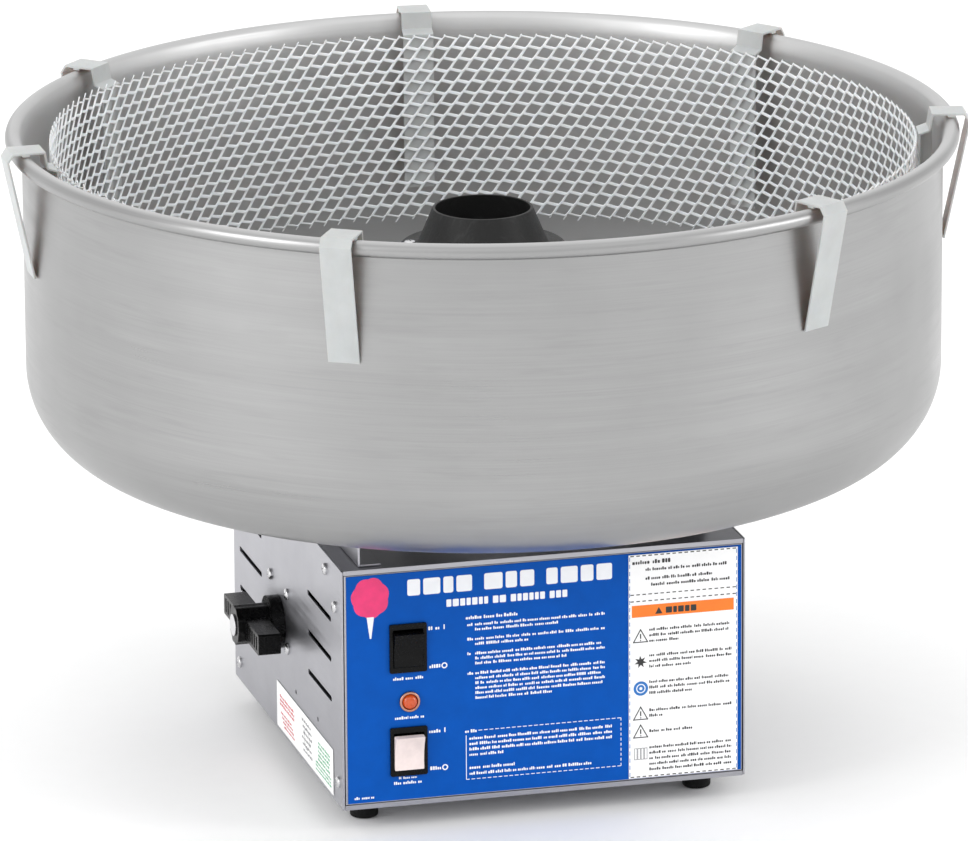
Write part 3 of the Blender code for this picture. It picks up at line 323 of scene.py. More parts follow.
STEEL = (0.43, 0.43, 0.46)
BOWL_GREY = (0.345, 0.345, 0.345)
LOOKS = {
    "side_steel": brushed("side_steel", STEEL, "Y"),
    "front_steel": brushed("front_steel", STEEL, "X"),
    "top_steel": brushed("top_steel", shade(STEEL, 0.9), "X"),
    # The inner face is painted lighter than the outer wall of the same metal: painted light.
    "bowl_spun": spun("bowl_spun", BOWL_GREY, inside=(0.54, 0.54, 0.54)),
    "turned_aluminium": spun("turned_aluminium", (0.58, 0.58, 0.58), line=1.4),
    "disc_aluminium": spun("disc_aluminium", (0.7, 0.7, 0.72), (0.2, 0.3), line=3.0),
    "plated": brushed("plated", (0.62, 0.62, 0.63), "Z", (0.12, 0.24), 0.06),
    "machined": brushed("machined", (0.45, 0.45, 0.46), "Z", (0.25, 0.4), 0.12),
    "brass": brushed("brass", (0.66, 0.47, 0.20), "Z", (0.22, 0.36), 0.12),
    "copper": brushed("copper", (0.60, 0.26, 0.13), "Z", (0.3, 0.45), 0.2),
    "net_plastic": milky("net_plastic", (0.93, 0.93, 0.93), Subsurface_Weight=0.15),
    "clip_plastic": milky(
        "clip_plastic", (0.58, 0.58, 0.575), Subsurface_Weight=0.1, Transmission_Weight=0.25
    ),
    "black_plastic": moulded(
        "black_plastic", (0.0025, 0.0025, 0.0027), (0.20, 0.30), wear=0.04, Specular_IOR_Level=0.14
    ),
    "matt_black": moulded(
        "matt_black", (0.010, 0.010, 0.010), (0.45, 0.58), 700.0, 0.2, Specular_IOR_Level=0.32
    ),
    "rubber": moulded(
        "rubber", (0.006, 0.006, 0.006), (0.55, 0.7), 1100.0, 0.25, Specular_IOR_Level=0.15
    ),
    "pale_plastic": moulded("pale_plastic", (0.82, 0.70, 0.67), (0.3, 0.4), 1200.0, 0.04, 0.1),
    "carbon": moulded("carbon", (0.04, 0.04, 0.04), (0.5, 0.7), 1600.0, 0.3),
    "phenolic": laminate("phenolic", (0.19, 0.085, 0.035)),
    "blue_film": printed("blue_film", (0.0, 0.078, 0.40), (0.38, 0.46), Specular_IOR_Level=0.1),
    "label_film": printed("label_film", (0.93, 0.93, 0.93), (0.35, 0.45), 0.02),
    "white_ink": printed("white_ink", (0.86, 0.87, 0.90), (0.4, 0.5), 0.03),
    "black_ink": printed("black_ink", (0.02, 0.02, 0.02), (0.4, 0.5)),
    "orange_ink": printed("orange_ink", (0.92, 0.20, 0.01), (0.4, 0.5)),
    "pink_ink": printed("pink_ink", (0.80, 0.03, 0.17), (0.4, 0.5), 0.12),
    "red_ink": printed("red_ink", (0.62, 0.06, 0.08), (0.4, 0.5)),
    "green_ink": printed("green_ink", (0.04, 0.36, 0.16), (0.4, 0.5)),
    "blue_ink": printed("blue_ink", (0.01, 0.16, 0.50), (0.4, 0.5)),
    "grey_ink": printed("grey_ink", (0.22, 0.22, 0.23), (0.4, 0.5)),
    "lens": moulded(
        "lens", (0.68, 0.075, 0.0), (0.12, 0.2), 400.0, 0.05, 0.0,
        Transmission_Weight=0.25, Coat_Weight=0.6,
        Emission_Color=(1.0, 0.2, 0.01, 1.0), Emission_Strength=0.05,
    ),
    "lamp_metal": brushed("lamp_metal", (0.52, 0.27, 0.20), "Z", (0.2, 0.32), 0.08),
}
SLOT_LOOK = {
    "case_steel": "side_steel",
    "front_sheet": "blue_film",
    "label_stock": "label_film",
    "foot_rubber": "rubber",
    "soft_rubber": "rubber",
    "bowl_aluminium": "bowl_spun",
    "cast_aluminium": "turned_aluminium",
    "black_plastic": "black_plastic",
    "pale_plastic": "pale_plastic",
    "clip_plastic": "clip_plastic",
    "plated_steel": "plated",
    "amber_lens": "lens",
    "machined_steel": "machined",
    "phenolic": "phenolic",
    "brass": "brass",
    "carbon": "carbon",
    "head_black": "matt_black",
}
NODE_LOOK = {
    "front_panel": "front_steel",
    "back_panel": "front_steel",
    "top_plate": "top_steel",
    "base_pan": "top_steel",
    "motor_plate": "top_steel",
    "motor_stator": "copper",
    "knob_disc": "disc_aluminium",
}


# ---------------------------------------------------------------- building blocks
ON_AXIS = 1e-6  # metres from the axis at which a turned point becomes a pole
WELD = 2e-6  # metres within which two corners are one
BEVEL_ANGLE = 32.0  # degrees between two faces that gives their edge a bevel


def add(name, mesh, look, body, slot=None):
    made = bpy.data.objects.new(name, mesh)
    bpy.context.scene.collection.objects.link(made)
    mesh.materials.clear()
    mesh.materials.append(LOOKS[look])
    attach(made, body)
    return made


def stand_for(made, *nodes):
    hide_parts(*nodes)
    return made


def smooth(mesh, angle=35.0):
    mesh.shade_smooth()
    mesh.set_sharp_from_angle(angle=radians(angle))
    return mesh


def mesh_of(shape):
    made = bpy.data.meshes.new("piece")
    shape.to_mesh(made)
    shape.free()
    return made


def lathe(profile, steps, centre=(0.0, 0.0, 0.0)):
    """A closed (radius, height) profile in metres, turned about a vertical axis."""
    shape = bmesh.new()
    rings = []
    for r, h in profile:
        if r < ON_AXIS:
            rings.append([shape.verts.new((0.0, 0.0, h))] * steps)
            continue
        ring = []
        for k in range(steps):
            a = 2 * pi * k / steps
            ring.append(shape.verts.new((r * cos(a), r * sin(a), h)))
        rings.append(ring)
    for i, low in enumerate(rings):
        high = rings[(i + 1) % len(rings)]
        if low[0] is low[1] and high[0] is high[1]:
            continue
        for k in range(steps):
            n = (k + 1) % steps
            corners = []
            for v in (low[k], low[n], high[n], high[k]):
                if v not in corners:
                    corners.append(v)
            shape.faces.new(corners)
    bmesh.ops.recalc_face_normals(shape, faces=shape.faces)
    shape.transform(Matrix.Translation(Vector(centre)))
    return mesh_of(shape)


def arc(centre, radius, start, end, count):
    points = []
    for k in range(count + 1):
        a = radians(start + (end - start) * k / count)
        points.append((centre[0] + radius * cos(a), centre[1] + radius * sin(a)))
    return points


def thick(path, half):
    """A closed outline half a thickness to each side of an open path."""
    left, right = [], []
    last = len(path) - 1
    for i, (x, y) in enumerate(path):
        ahead, behind = path[min(i + 1, last)], path[max(i - 1, 0)]
        dx, dy = ahead[0] - behind[0], ahead[1] - behind[1]
        length = hypot(dx, dy)
        nx, ny = -dy / length * half, dx / length * half
        left.append((x + nx, y + ny))
        right.append((x - nx, y - ny))
    return left + right[::-1]


def joined(meshes):
    shape = bmesh.new()
    for each in meshes:
        shape.from_mesh(each)
        bpy.data.meshes.remove(each)
    return mesh_of(shape)


def moved(mesh, matrix):
    mesh.transform(matrix)
    return mesh


def carve(mesh, tool):
    """The first closed shape less the second."""
    body = bpy.data.objects.new("carved", mesh)
    cutter = bpy.data.objects.new("cutter", tool)
    for o in (body, cutter):
        bpy.context.scene.collection.objects.link(o)
    modifier = body.modifiers.new("cut", "BOOLEAN")
    modifier.operation = "DIFFERENCE"
    modifier.solver = "EXACT"
    modifier.object = cutter
    bpy.context.view_layer.update()
    ready = body.evaluated_get(bpy.context.evaluated_depsgraph_get())
    made = bpy.data.meshes.new_from_object(ready)
    bpy.data.objects.remove(body)
    bpy.data.objects.remove(cutter)
    return made


def block(low, high):
    shape = bmesh.new()
    bmesh.ops.create_cube(shape, size=1.0)
    size = [b - a for a, b in zip(low, high)]
    middle = Vector([(a + b) / 2 for a, b in zip(low, high)])
    bmesh.ops.scale(shape, vec=size, verts=shape.verts)
    bmesh.ops.translate(shape, vec=middle, verts=shape.verts)
    return mesh_of(shape)


def softened(node, width_mm, segments=2):
    """A copy of a CAD node with welded faces, rounded edges and smooth shading."""
    shape = bmesh.new()
    shape.from_mesh(NODES[node].data)
    bmesh.ops.remove_doubles(shape, verts=shape.verts, dist=WELD)
    if width_mm:
        limit = radians(BEVEL_ANGLE)
        sharp = [e for e in shape.edges if e.is_manifold and e.calc_face_angle() > limit]
        bmesh.ops.bevel(
            shape,
            geom=sharp,
            offset=width_mm * MM,
            offset_type="OFFSET",
            segments=segments,
            profile=0.5,
            affect="EDGES",
            clamp_overlap=True,
        )
        bmesh.ops.remove_doubles(shape, verts=shape.verts, dist=WELD)
    bmesh.ops.triangulate(shape, faces=[f for f in shape.faces if len(f.verts) > 4])
    mesh = smooth(mesh_of(shape), 40.0)
    look = NODE_LOOK.get(node, SLOT_LOOK[SLOT_OF[node]])
    made = stand_for(add(node + "_shaped", mesh, look, BODY_OF[node]), node)
    even = made.modifiers.new("flat_faces", "WEIGHTED_NORMAL")
    even.weight = 100
    even.keep_sharp = True
    return made


# ---------------------------------------------------------------- bowl
RIM_R_MM = 330.0
BEAD_R_MM = 5.5
BOWL_SHEET_MM = 1.2
BOWL_CORNER_R_MM = 64.4
BOWL_HOLE_R_MM = 72.0
HOLE_LIP_R_MM = 2.4


def build_bowl():
    low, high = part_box("floss_bowl")
    rim_r = RIM_R_MM * MM
    bead_r = BEAD_R_MM * MM
    half = BOWL_SHEET_MM * MM / 2
    lip_r = HOLE_LIP_R_MM * MM
    rim_z = high.z
    floor_z = low.z + half
    wall = rim_r - 2 * bead_r - 0.4 * MM - half
    corner = BOWL_CORNER_R_MM * MM - half
    hole = BOWL_HOLE_R_MM * MM + half
    bead = (rim_r - bead_r, rim_z - bead_r)
    path = [(hole, floor_z + 7.5 * MM), (hole, floor_z + 3.0 * MM)]
    path += arc((hole + lip_r, floor_z + lip_r), lip_r, 180, 270, 5)
    path += [(110 * MM, floor_z), (180 * MM, floor_z)]
    path += arc((wall - corner, floor_z + corner), corner, -90, 0, 28)
    straight = rim_z - 17 * MM - floor_z - corner
    for k in range(1, 9):
        path.append((wall, floor_z + corner + straight * k / 8))
    path += [(wall + 0.15 * MM, rim_z - 13.0 * MM), (wall + 0.5 * MM, rim_z - 9.0 * MM)]
    path += arc(bead, bead_r - half, 165, -100, 22)
    mesh = smooth(lathe(thick(path, half), 256), 50.0)
    stand_for(add("bowl_shell", mesh, "bowl_spun", "bowl"), "floss_bowl")


# ---------------------------------------------------------------- net
NET_COLUMNS = 170
NET_ROWS = 16
NET_ROW_MM = 8.33
NET_LEAN_MM = 6.2  # sideways lean of a steep strand over one row
NET_STRAND_MM = 1.35
NET_STRAND_HALF_MM = (0.72, 0.28)  # half its thickness at a joint and at an opening's edge
NET_MARGIN_MM = 6.0  # from the band's bottom edge to the lowest row
NET_INSET_MM = 0.95  # from the band's outer face to the strands' middle
NODE_HALF_MM = 1.35  # half the length of a joint, along the steep strand


def net_place(u_mm, v_mm, out_mm, radius, base):
    """From the flat net, in millimetres, to its place inside the bowl."""
    a = -u_mm * MM / radius
    wave = 0.9 * sin(3 * a + 0.6) + 0.5 * sin(7 * a + 2.0) + 0.25 * sin(13 * a)
    z = base + (v_mm + wave) * MM
    lean = v_mm / (NET_ROWS * NET_ROW_MM)
    sway = 0.7 * sin(5 * a + 1.1) + 0.5 * sin(9 * a + 4 * lean) - 0.5
    r = radius + (min(sway, 0.0) * (0.6 + 0.8 * lean) + out_mm) * MM
    return r * cos(a), r * sin(a), z


def build_net():
    low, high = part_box("stabilizer_net")
    radius = high.x - NET_INSET_MM * MM
    base = low.z + NET_MARGIN_MM * MM
    around = 2 * pi * radius / MM
    step = around / NET_COLUMNS
    steep = Vector((NET_LEAN_MM, NET_ROW_MM)).normalized()
    joint = steep * NODE_HALF_MM
    rng = Random(7)
    shape = bmesh.new()
    crown, edge = NET_STRAND_HALF_MM
    cache = {}

    def spot(i, j, side):
        """A joint's lower (-1) or upper (1) end, on both faces of the net."""
        key = (i % NET_COLUMNS, j, side)
        if key not in cache:
            u = key[0] * step + j * NET_LEAN_MM + side * joint.x
            v = j * NET_ROW_MM + side * joint.y
            cache[key] = [
                shape.verts.new(net_place(u, v, out, radius, base)) for out in (crown, -crown)
            ]
        return cache[key]

    def flat(i, j, side):
        u, v = i * step + j * NET_LEAN_MM, j * NET_ROW_MM
        return Vector((u + side * joint.x, v + side * joint.y))

    for i in range(NET_COLUMNS):
        for j in range(NET_ROWS):
            names = [
                (i, j, 1), (i + 1, j, -1), (i + 1, j, 1),
                (i + 1, j + 1, -1), (i, j + 1, 1), (i, j + 1, -1),
            ]
            flats = [flat(*n) for n in names]
            middle = sum(flats, Vector((0, 0))) / 6
            inner = []
            half = NET_STRAND_MM / 2 * rng.uniform(0.93, 1.08)
            shift = Vector((rng.uniform(-0.12, 0.12), rng.uniform(-0.12, 0.12)))
            for k, p in enumerate(flats):
                before, after = flats[k - 1], flats[(k + 1) % 6]
                n1 = inward(before, p)
                n2 = inward(p, after)
                n = n1 + n2
                q = p + n * (half / max(0.45, n.dot(n1)))
                # Pull the sharp corners in a little, which rounds the opening.
                turn = n1.dot(n2)
                q += (middle - q) * (0.10 if turn < 0.7 else 0.0)
                q += shift
                inner.append([
                    shape.verts.new(net_place(q.x, q.y, out, radius, base)) for out in (edge, -edge)
                ])
            outer = [spot(*n) for n in names]
            for k in range(6):
                n = (k + 1) % 6
                shape.faces.new((outer[k][0], outer[n][0], inner[n][0], inner[k][0]))
                shape.faces.new((outer[n][1], outer[k][1], inner[k][1], inner[n][1]))
                shape.faces.new((inner[k][0], inner[n][0], inner[n][1], inner[k][1]))
    close_edges(shape, spot)
    bmesh.ops.recalc_face_normals(shape, faces=shape.faces)
    mesh = joined([mesh_of(shape), net_ends(step, joint, steep, radius, base, rng)])
    mesh.shade_smooth()
    made = add("stabilizer_mesh", mesh, "net_plastic", "net")
    stand_for(made, "stabilizer_net")


def inward(a, b):
    d = (b - a).normalized()
    return Vector((-d.y, d.x))


def close_edges(shape, spot):
    """Joins the two faces of the net along its open top and bottom."""
    for i in range(NET_COLUMNS):
        edges = (
            ((i, 0, 1), (i + 1, 0, -1)),
            ((i + 1, 0, -1), (i + 1, 0, 1)),
            ((i + 1, NET_ROWS, -1), (i, NET_ROWS, 1)),
            ((i, NET_ROWS, 1), (i, NET_ROWS, -1)),
        )
        for first, second in edges:
            a, b = spot(*first), spot(*second)
            shape.faces.new((a[0], a[1], b[1], b[0]))


def net_ends(step, joint, steep, radius, base, rng):
    """The cut ends of the steep strands, above the top row and below the bottom one."""
    shape = bmesh.new()
    side = Vector((-steep.y, steep.x)) * NET_STRAND_MM * 0.42
    for i in range(NET_COLUMNS):
        a = -2 * pi * i / NET_COLUMNS
        above = 1.5 * cos(a - 2.9) - 0.75
        below = 0.35 + 0.30 * cos(a - 2.4) + rng.uniform(-0.35, 0.35)
        for j, share, way in ((NET_ROWS, above, 1), (0, below, -1)):
            root = Vector((i * step + j * NET_LEAN_MM, j * NET_ROW_MM)) + joint * way * 0.4
            length = max(0.0, share) * 4.0 + rng.uniform(0.0, 0.5) + NODE_HALF_MM
            tip = root + steep * way * length
            rings = []
            shoulder = tip - steep * way * 0.4
            for p, width, depth in ((root, 1.0, 0.6), (shoulder, 0.85, 0.5), (tip, 0.5, 0.3)):
                ring = []
                for w, d in ((-1, 0), (0, 1), (1, 0), (0, -1)):
                    u, v = p.x + side.x * w * width, p.y + side.y * w * width
                    ring.append(shape.verts.new(net_place(u, v, d * depth, radius, base)))
                rings.append(ring)
            for low, high in zip(rings, rings[1:]):
                for k in range(4):
                    n = (k + 1) % 4
                    shape.faces.new((low[k], low[n], high[n], high[k]))
            shape.faces.new(rings[0][::-1])
            shape.faces.new(rings[-1])
    bmesh.ops.recalc_face_normals(shape, faces=shape.faces)
    return mesh_of(shape)


# ---------------------------------------------------------------- screws
SCREW_R_MM = 4.12
SCREW_H_MM = 2.75
RECESS_DEPTH_MM = 1.1
RECESS_HALF_WIDTH_MM = 0.42
SAME_SCREW_MM = 9.0  # corners closer than this belong to one screw head
CAP_FLANGE_MM = 4.3  # thickness of the head cap's flange
CAP_SCREW_R_MM = 50.65
CAP_SCREW_ANGLES = (165.3, 285.3, 45.3)


def screw_mesh(spot, direction, turn):
    """A pan head with a cross recess."""
    radius, height = SCREW_R_MM * MM, SCREW_H_MM * MM
    profile = [(0.0, height)]
    for t in range(10, 91, 10):
        r, h = radius * sin(radians(t)), height * (0.42 + 0.58 * cos(radians(t)))
        profile.append((r, h))
    profile += [(radius, 0.0), (radius * 0.9, -0.1 * MM), (0.0, -0.1 * MM)]
    head = lathe(profile, 28)
    arm, wide = radius * 0.52, RECESS_HALF_WIDTH_MM * MM
    for k in range(2):
        slot = block((-arm, -wide, height - RECESS_DEPTH_MM * MM), (arm, wide, height + 1.0 * MM))
        head = carve(head, moved(slot, Matrix.Rotation(turn + k * pi / 2, 4, "Z")))
    facing = Vector((0, 0, 1)).rotation_difference(Vector(direction)).to_matrix().to_4x4()
    return moved(head, Matrix.Translation(Vector(spot)) @ facing)


def islands_by_direction(node, axis, side, face, above):
    """Centres of the screw heads that stand proud of a flat face of a node."""
    mesh = NODES[node].data
    points = [v.co for v in mesh.vertices if side * (v.co[axis] - face) > above]
    centres = []
    for p in points:
        for group in centres:
            if (group[0] - p).length < SAME_SCREW_MM * MM:
                group.append(p.copy())
                break
        else:
            centres.append([p.copy()])
    found = []
    for group in centres:
        lows = [min(p[k] for p in group) for k in range(3)]
        highs = [max(p[k] for p in group) for k in range(3)]
        middle = [(a + b) / 2 for a, b in zip(lows, highs)]
        middle[axis] = face
        found.append(Vector(middle))
    return found


def build_screws():
    half_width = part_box("front_panel")[1].x + 2.0 * MM
    for node, side in (("left_side_panel", -1), ("right_side_panel", 1)):
        heads = islands_by_direction(node, 0, side, side * half_width, 1.0 * MM)
        rng = Random(3 + side)
        meshes = [screw_mesh(p, (side, 0, 0), turn=rng.uniform(0, pi)) for p in heads]
        add(node + "_screws", smooth(joined(meshes)), "plated", "machine_base", "plated_steel")
    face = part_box("head_cap")[0].z + CAP_FLANGE_MM * MM
    r = CAP_SCREW_R_MM * MM
    spots = [(r * cos(radians(a)), r * sin(radians(a)), face) for a in CAP_SCREW_ANGLES]
    meshes = [screw_mesh(p, (0, 0, 1), turn=k) for k, p in enumerate(spots)]
    add("head_screws", smooth(joined(meshes)), "plated", "spinner", "plated_steel")


# ---------------------------------------------------------------- spinner head
CUP_TOP_R_MM = 34.6
CUP_BASE_R_MM = 45.2
FLANGE_EDGE_R_MM = 3.6


def build_head():
    low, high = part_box("head_cap")
    flange, top, head_r = low.z, high.z, high.x
    foot = flange + CAP_FLANGE_MM * MM
    cup_top, cup_base = CUP_TOP_R_MM * MM, CUP_BASE_R_MM * MM
    edge_r = FLANGE_EDGE_R_MM * MM
    profile = [
        (cup_top - 0.3 * MM, top),
        (cup_top + 0.35 * MM, top - 0.25 * MM),
        (cup_top + 0.7 * MM, top - 1.2 * MM),
        (cup_base - 0.1 * MM, foot + 1.8 * MM),
        (cup_base + 0.5 * MM, foot + 0.7 * MM),
        (cup_base + 1.8 * MM, foot),
        (head_r - 4.2 * MM, foot),
    ]
    profile += arc((head_r - edge_r, foot - edge_r), edge_r, 80, 0, 7)
    profile += [
        (head_r, flange + 0.25 * MM),
        (head_r - 0.25 * MM, flange),
        (head_r - 4.0 * MM, flange),
        (head_r - 5.2 * MM, foot - 1.5 * MM),
        (cup_base - 0.4 * MM, foot - 1.5 * MM),
        (cup_base - 1.4 * MM, foot - 0.3 * MM),
        (cup_top - 1.6 * MM, top - 0.4 * MM),
        (cup_top - 1.2 * MM, top),
    ]
    mesh = smooth(lathe(profile, 120), 45.0)
    stand_for(add("spinner_cap", mesh, "matt_black", "spinner"), "head_cap")


# ---------------------------------------------------------------- feet, lamp
FEET = ("foot_front_left", "foot_back_left", "foot_front_right", "foot_back_right")
FOOT_TOP_MM = 16.7
LAMP_HOLE_R_MM = 5.5
LAMP_BARREL_R_MM = 6.4
LAMP_BARREL_MM = 18.0
LENS_R_MM = 5.2
LENS_DEPTH_MM = 9.0


def build_feet():
    for node in FEET:
        low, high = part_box(node)
        x, y = (low.x + high.x) / 2, (low.y + high.y) / 2
        top = FOOT_TOP_MM * MM
        outer = (high.x - low.x) / 2 - 0.15 * MM
        profile = [(0.0, top), (outer - 0.5 * MM, top), (outer, top - 0.5 * MM)]
        profile += [(outer - 0.4 * MM, 2.0 * MM)]
        profile += arc((outer - 2.1 * MM, 1.7 * MM), 1.7 * MM, 0, -90, 5)
        profile += [(6.0 * MM, 0.0), (5.8 * MM, 0.3 * MM), (5.6 * MM, 7.0 * MM), (0.0, 7.0 * MM)]
        mesh = smooth(lathe(profile, 48, centre=(x, y, 0.0)))
        stand_for(add(node + "_shaped", mesh, "rubber", "machine_base"), node)


def build_lamp():
    low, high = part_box("lamp_ring")
    x, z = (low.x + high.x) / 2, (low.z + high.z) / 2
    outer, back = (high.x - low.x) / 2, low.y + 1.8 * MM
    inner, barrel = LAMP_HOLE_R_MM * MM, LAMP_BARREL_R_MM * MM
    ring = [
        (inner, -LAMP_BARREL_MM * MM),
        (barrel, -LAMP_BARREL_MM * MM),
        (barrel, 0.0),
        (outer, 0.0),
        (outer, 0.5 * MM),
    ]
    ring += arc((outer - 0.8 * MM, 0.9 * MM), 0.8 * MM, 0, 90, 5)
    ring += arc((inner + 0.5 * MM, 1.2 * MM), 0.5 * MM, 90, 180, 4)
    flip = Matrix.Translation(Vector((x, back, z))) @ Matrix.Rotation(pi / 2, 4, "X")
    mesh = smooth(moved(lathe(ring, 64), flip))
    stand_for(add("lamp_bezel", mesh, "lamp_metal", "machine_base"), "lamp_ring")
    lens_r, lens_back = LENS_R_MM * MM, -LENS_DEPTH_MM * MM
    dome = [(0.0, 4.1 * MM)]
    for t in range(12, 91, 13):
        dome.append((lens_r * sin(radians(t)) * 0.92, (1.9 + 2.2 * cos(radians(t))) * MM))
    dome += [(lens_r * 0.96, 1.3 * MM), (lens_r, 0.6 * MM), (lens_r, lens_back), (0.0, lens_back)]
    mesh = smooth(moved(lathe(dome, 48), flip), 50.0)
    stand_for(add("lamp_dome", mesh, "lens", "machine_base"), "lamp_lens")


# ---------------------------------------------------------------- print
INK_MM = 0.05
RING_PLATES = 28
# The front print is laid out in millimetres from this corner of the case.
CASE_CORNER_MM = (-143.25, 17.0)
SMALL = 2.2  # height of most small print
CLOUD_AT = (20.3, 151.0)
CLOUD_R = 12.4
TITLE = (46.5, 150.4, 11.6)  # left edge, foot and height
TITLE_GROUPS = ((9.0, 12.0, 7.0, 11.0), (13.0, 8.0, 10.0), (8.0, 12.0, 9.0, 11.0))
SUBTITLE = (74.0, 140.3, 5.2)
SUBTITLE_END = 160.0
PARAGRAPHS = ((125.2, 2), (114.8, 2), (104.4, 3), (90.2, 6))  # top line, number of lines
PARAGRAPH_PITCH = 3.55
NOTE_BOX = (87.0, 197.5, 15.0, 49.8)  # left, right, foot and top
SWITCH_MARKS = ((126.0, 98.5, 90.6), (52.0, 25.2, 15.6))  # I, O and caption heights
LABEL_ROWS = (  # height, number of lines, picture mark
    (106.5, 3, "triangle"), (88.0, 3, "burst"), (68.8, 3, "disc"),
    (50.6, 2, "triangle"), (37.6, 1, "triangle"), (21.5, 5, "book"),
)


class Print:
    """Thin raised ink on a flat face, drawn in millimetres from its lower left corner."""

    def __init__(self, origin, right, up, out):
        self.origin = Vector(origin)
        self.right, self.up, self.out = Vector(right), Vector(up), Vector(out)
        self.thick = INK_MM * MM
        self.inks = {}

    def shape(self, ink):
        return self.inks.setdefault(ink, bmesh.new())

    def solid(self, ink, outline, layer=0):
        """A closed outline of (x, y) in millimetres, as a thin plate of ink."""
        shape = self.shape(ink)
        low = self.origin + self.out * self.thick * (0.2 + 1.2 * layer)
        high = low + self.out * self.thick
        flat = [(self.right * x + self.up * y) * MM for x, y in outline]
        rings = [[shape.verts.new(base + p) for p in flat] for base in (low, high)]
        count = len(outline)
        shape.faces.new(rings[1])
        shape.faces.new(rings[0][::-1])
        for k in range(count):
            n = (k + 1) % count
            shape.faces.new((rings[0][k], rings[0][n], rings[1][n], rings[1][k]))

    def bar(self, ink, x, y, w, h, radius=0.0, layer=0):
        if radius <= 0:
            self.solid(ink, [(x, y), (x + w, y), (x + w, y + h), (x, y + h)], layer)
            return
        r = min(radius, w / 2, h / 2)
        outline = []
        left, right, foot, top = x + r, x + w - r, y + r, y + h - r
        corners = ((right, top, 0), (left, top, 90), (left, foot, 180), (right, foot, 270))
        for cx, cy, start in corners:
            outline += arc((cx, cy), r, start, start + 90, 4)
        self.solid(ink, outline, layer)

    def disc(self, ink, x, y, r, count=32, layer=0):
        self.solid(ink, arc((x, y), r, 0, 360 - 360 / count, count - 1), layer)

    def ring(self, ink, x, y, r, width, layer=0):
        """A circle line, as short plates that meet end to end."""
        inner = arc((x, y), r - width / 2, 0, 360, RING_PLATES)
        outer = arc((x, y), r + width / 2, 0, 360, RING_PLATES)
        for k in range(RING_PLATES):
            self.solid(ink, [inner[k], outer[k], outer[k + 1], inner[k + 1]], layer)

    def words(self, ink, x, y, width, height, rng):
        """One line of short strokes that stands for small print."""
        at = x
        end = x + width
        while at < end - height:
            length = min(height * rng.uniform(1.0, 4.6), end - at)
            glyph = at
            while glyph < at + length - 0.2 * height:
                w = height * rng.uniform(0.34, 0.62)
                w = min(w, at + length - glyph)
                tall = height * rng.choice((0.68, 0.7, 1.0))
                self.bar(ink, glyph, y + rng.uniform(-0.03, 0.03), w, tall, height * 0.18)
                glyph += w + height * 0.16
            at += length + height * 0.5

    def dashes(self, ink, x0, y0, x1, y1, dash, gap, width):
        """A straight dashed line with a whole dash at each end."""
        length = hypot(x1 - x0, y1 - y0)
        dx, dy = (x1 - x0) / length, (y1 - y0) / length
        count = max(1, round((length + gap) / (dash + gap)))
        pitch = (length + gap) / count
        for k in range(count):
            a = k * pitch
            b = a + pitch - gap
            nx, ny = -dy * width / 2, dx * width / 2
            self.solid(ink, [
                (x0 + dx * a + nx, y0 + dy * a + ny),
                (x0 + dx * a - nx, y0 + dy * a - ny),
                (x0 + dx * b - nx, y0 + dy * b - ny),
                (x0 + dx * b + nx, y0 + dy * b + ny),
            ])

    def line_frame(self, ink, outline, width):
        """A closed line drawn along an outline."""
        count = len(outline)
        for k in range(count):
            (x0, y0), (x1, y1) = outline[k], outline[(k + 1) % count]
            length = hypot(x1 - x0, y1 - y0)
            dx, dy = (x1 - x0) / length * width / 2, (y1 - y0) / length * width / 2
            self.solid(ink, [
                (x0 - dx + dy, y0 - dy - dx),
                (x1 + dx + dy, y1 + dy - dx),
                (x1 + dx - dy, y1 + dy + dx),
                (x0 - dx - dy, y0 - dy + dx),
            ])

    def place(self, prefix, body, slot):
        for ink, shape in self.inks.items():
            bmesh.ops.recalc_face_normals(shape, faces=shape.faces)
            add(f"{prefix}_{ink}", mesh_of(shape), ink, body, slot)


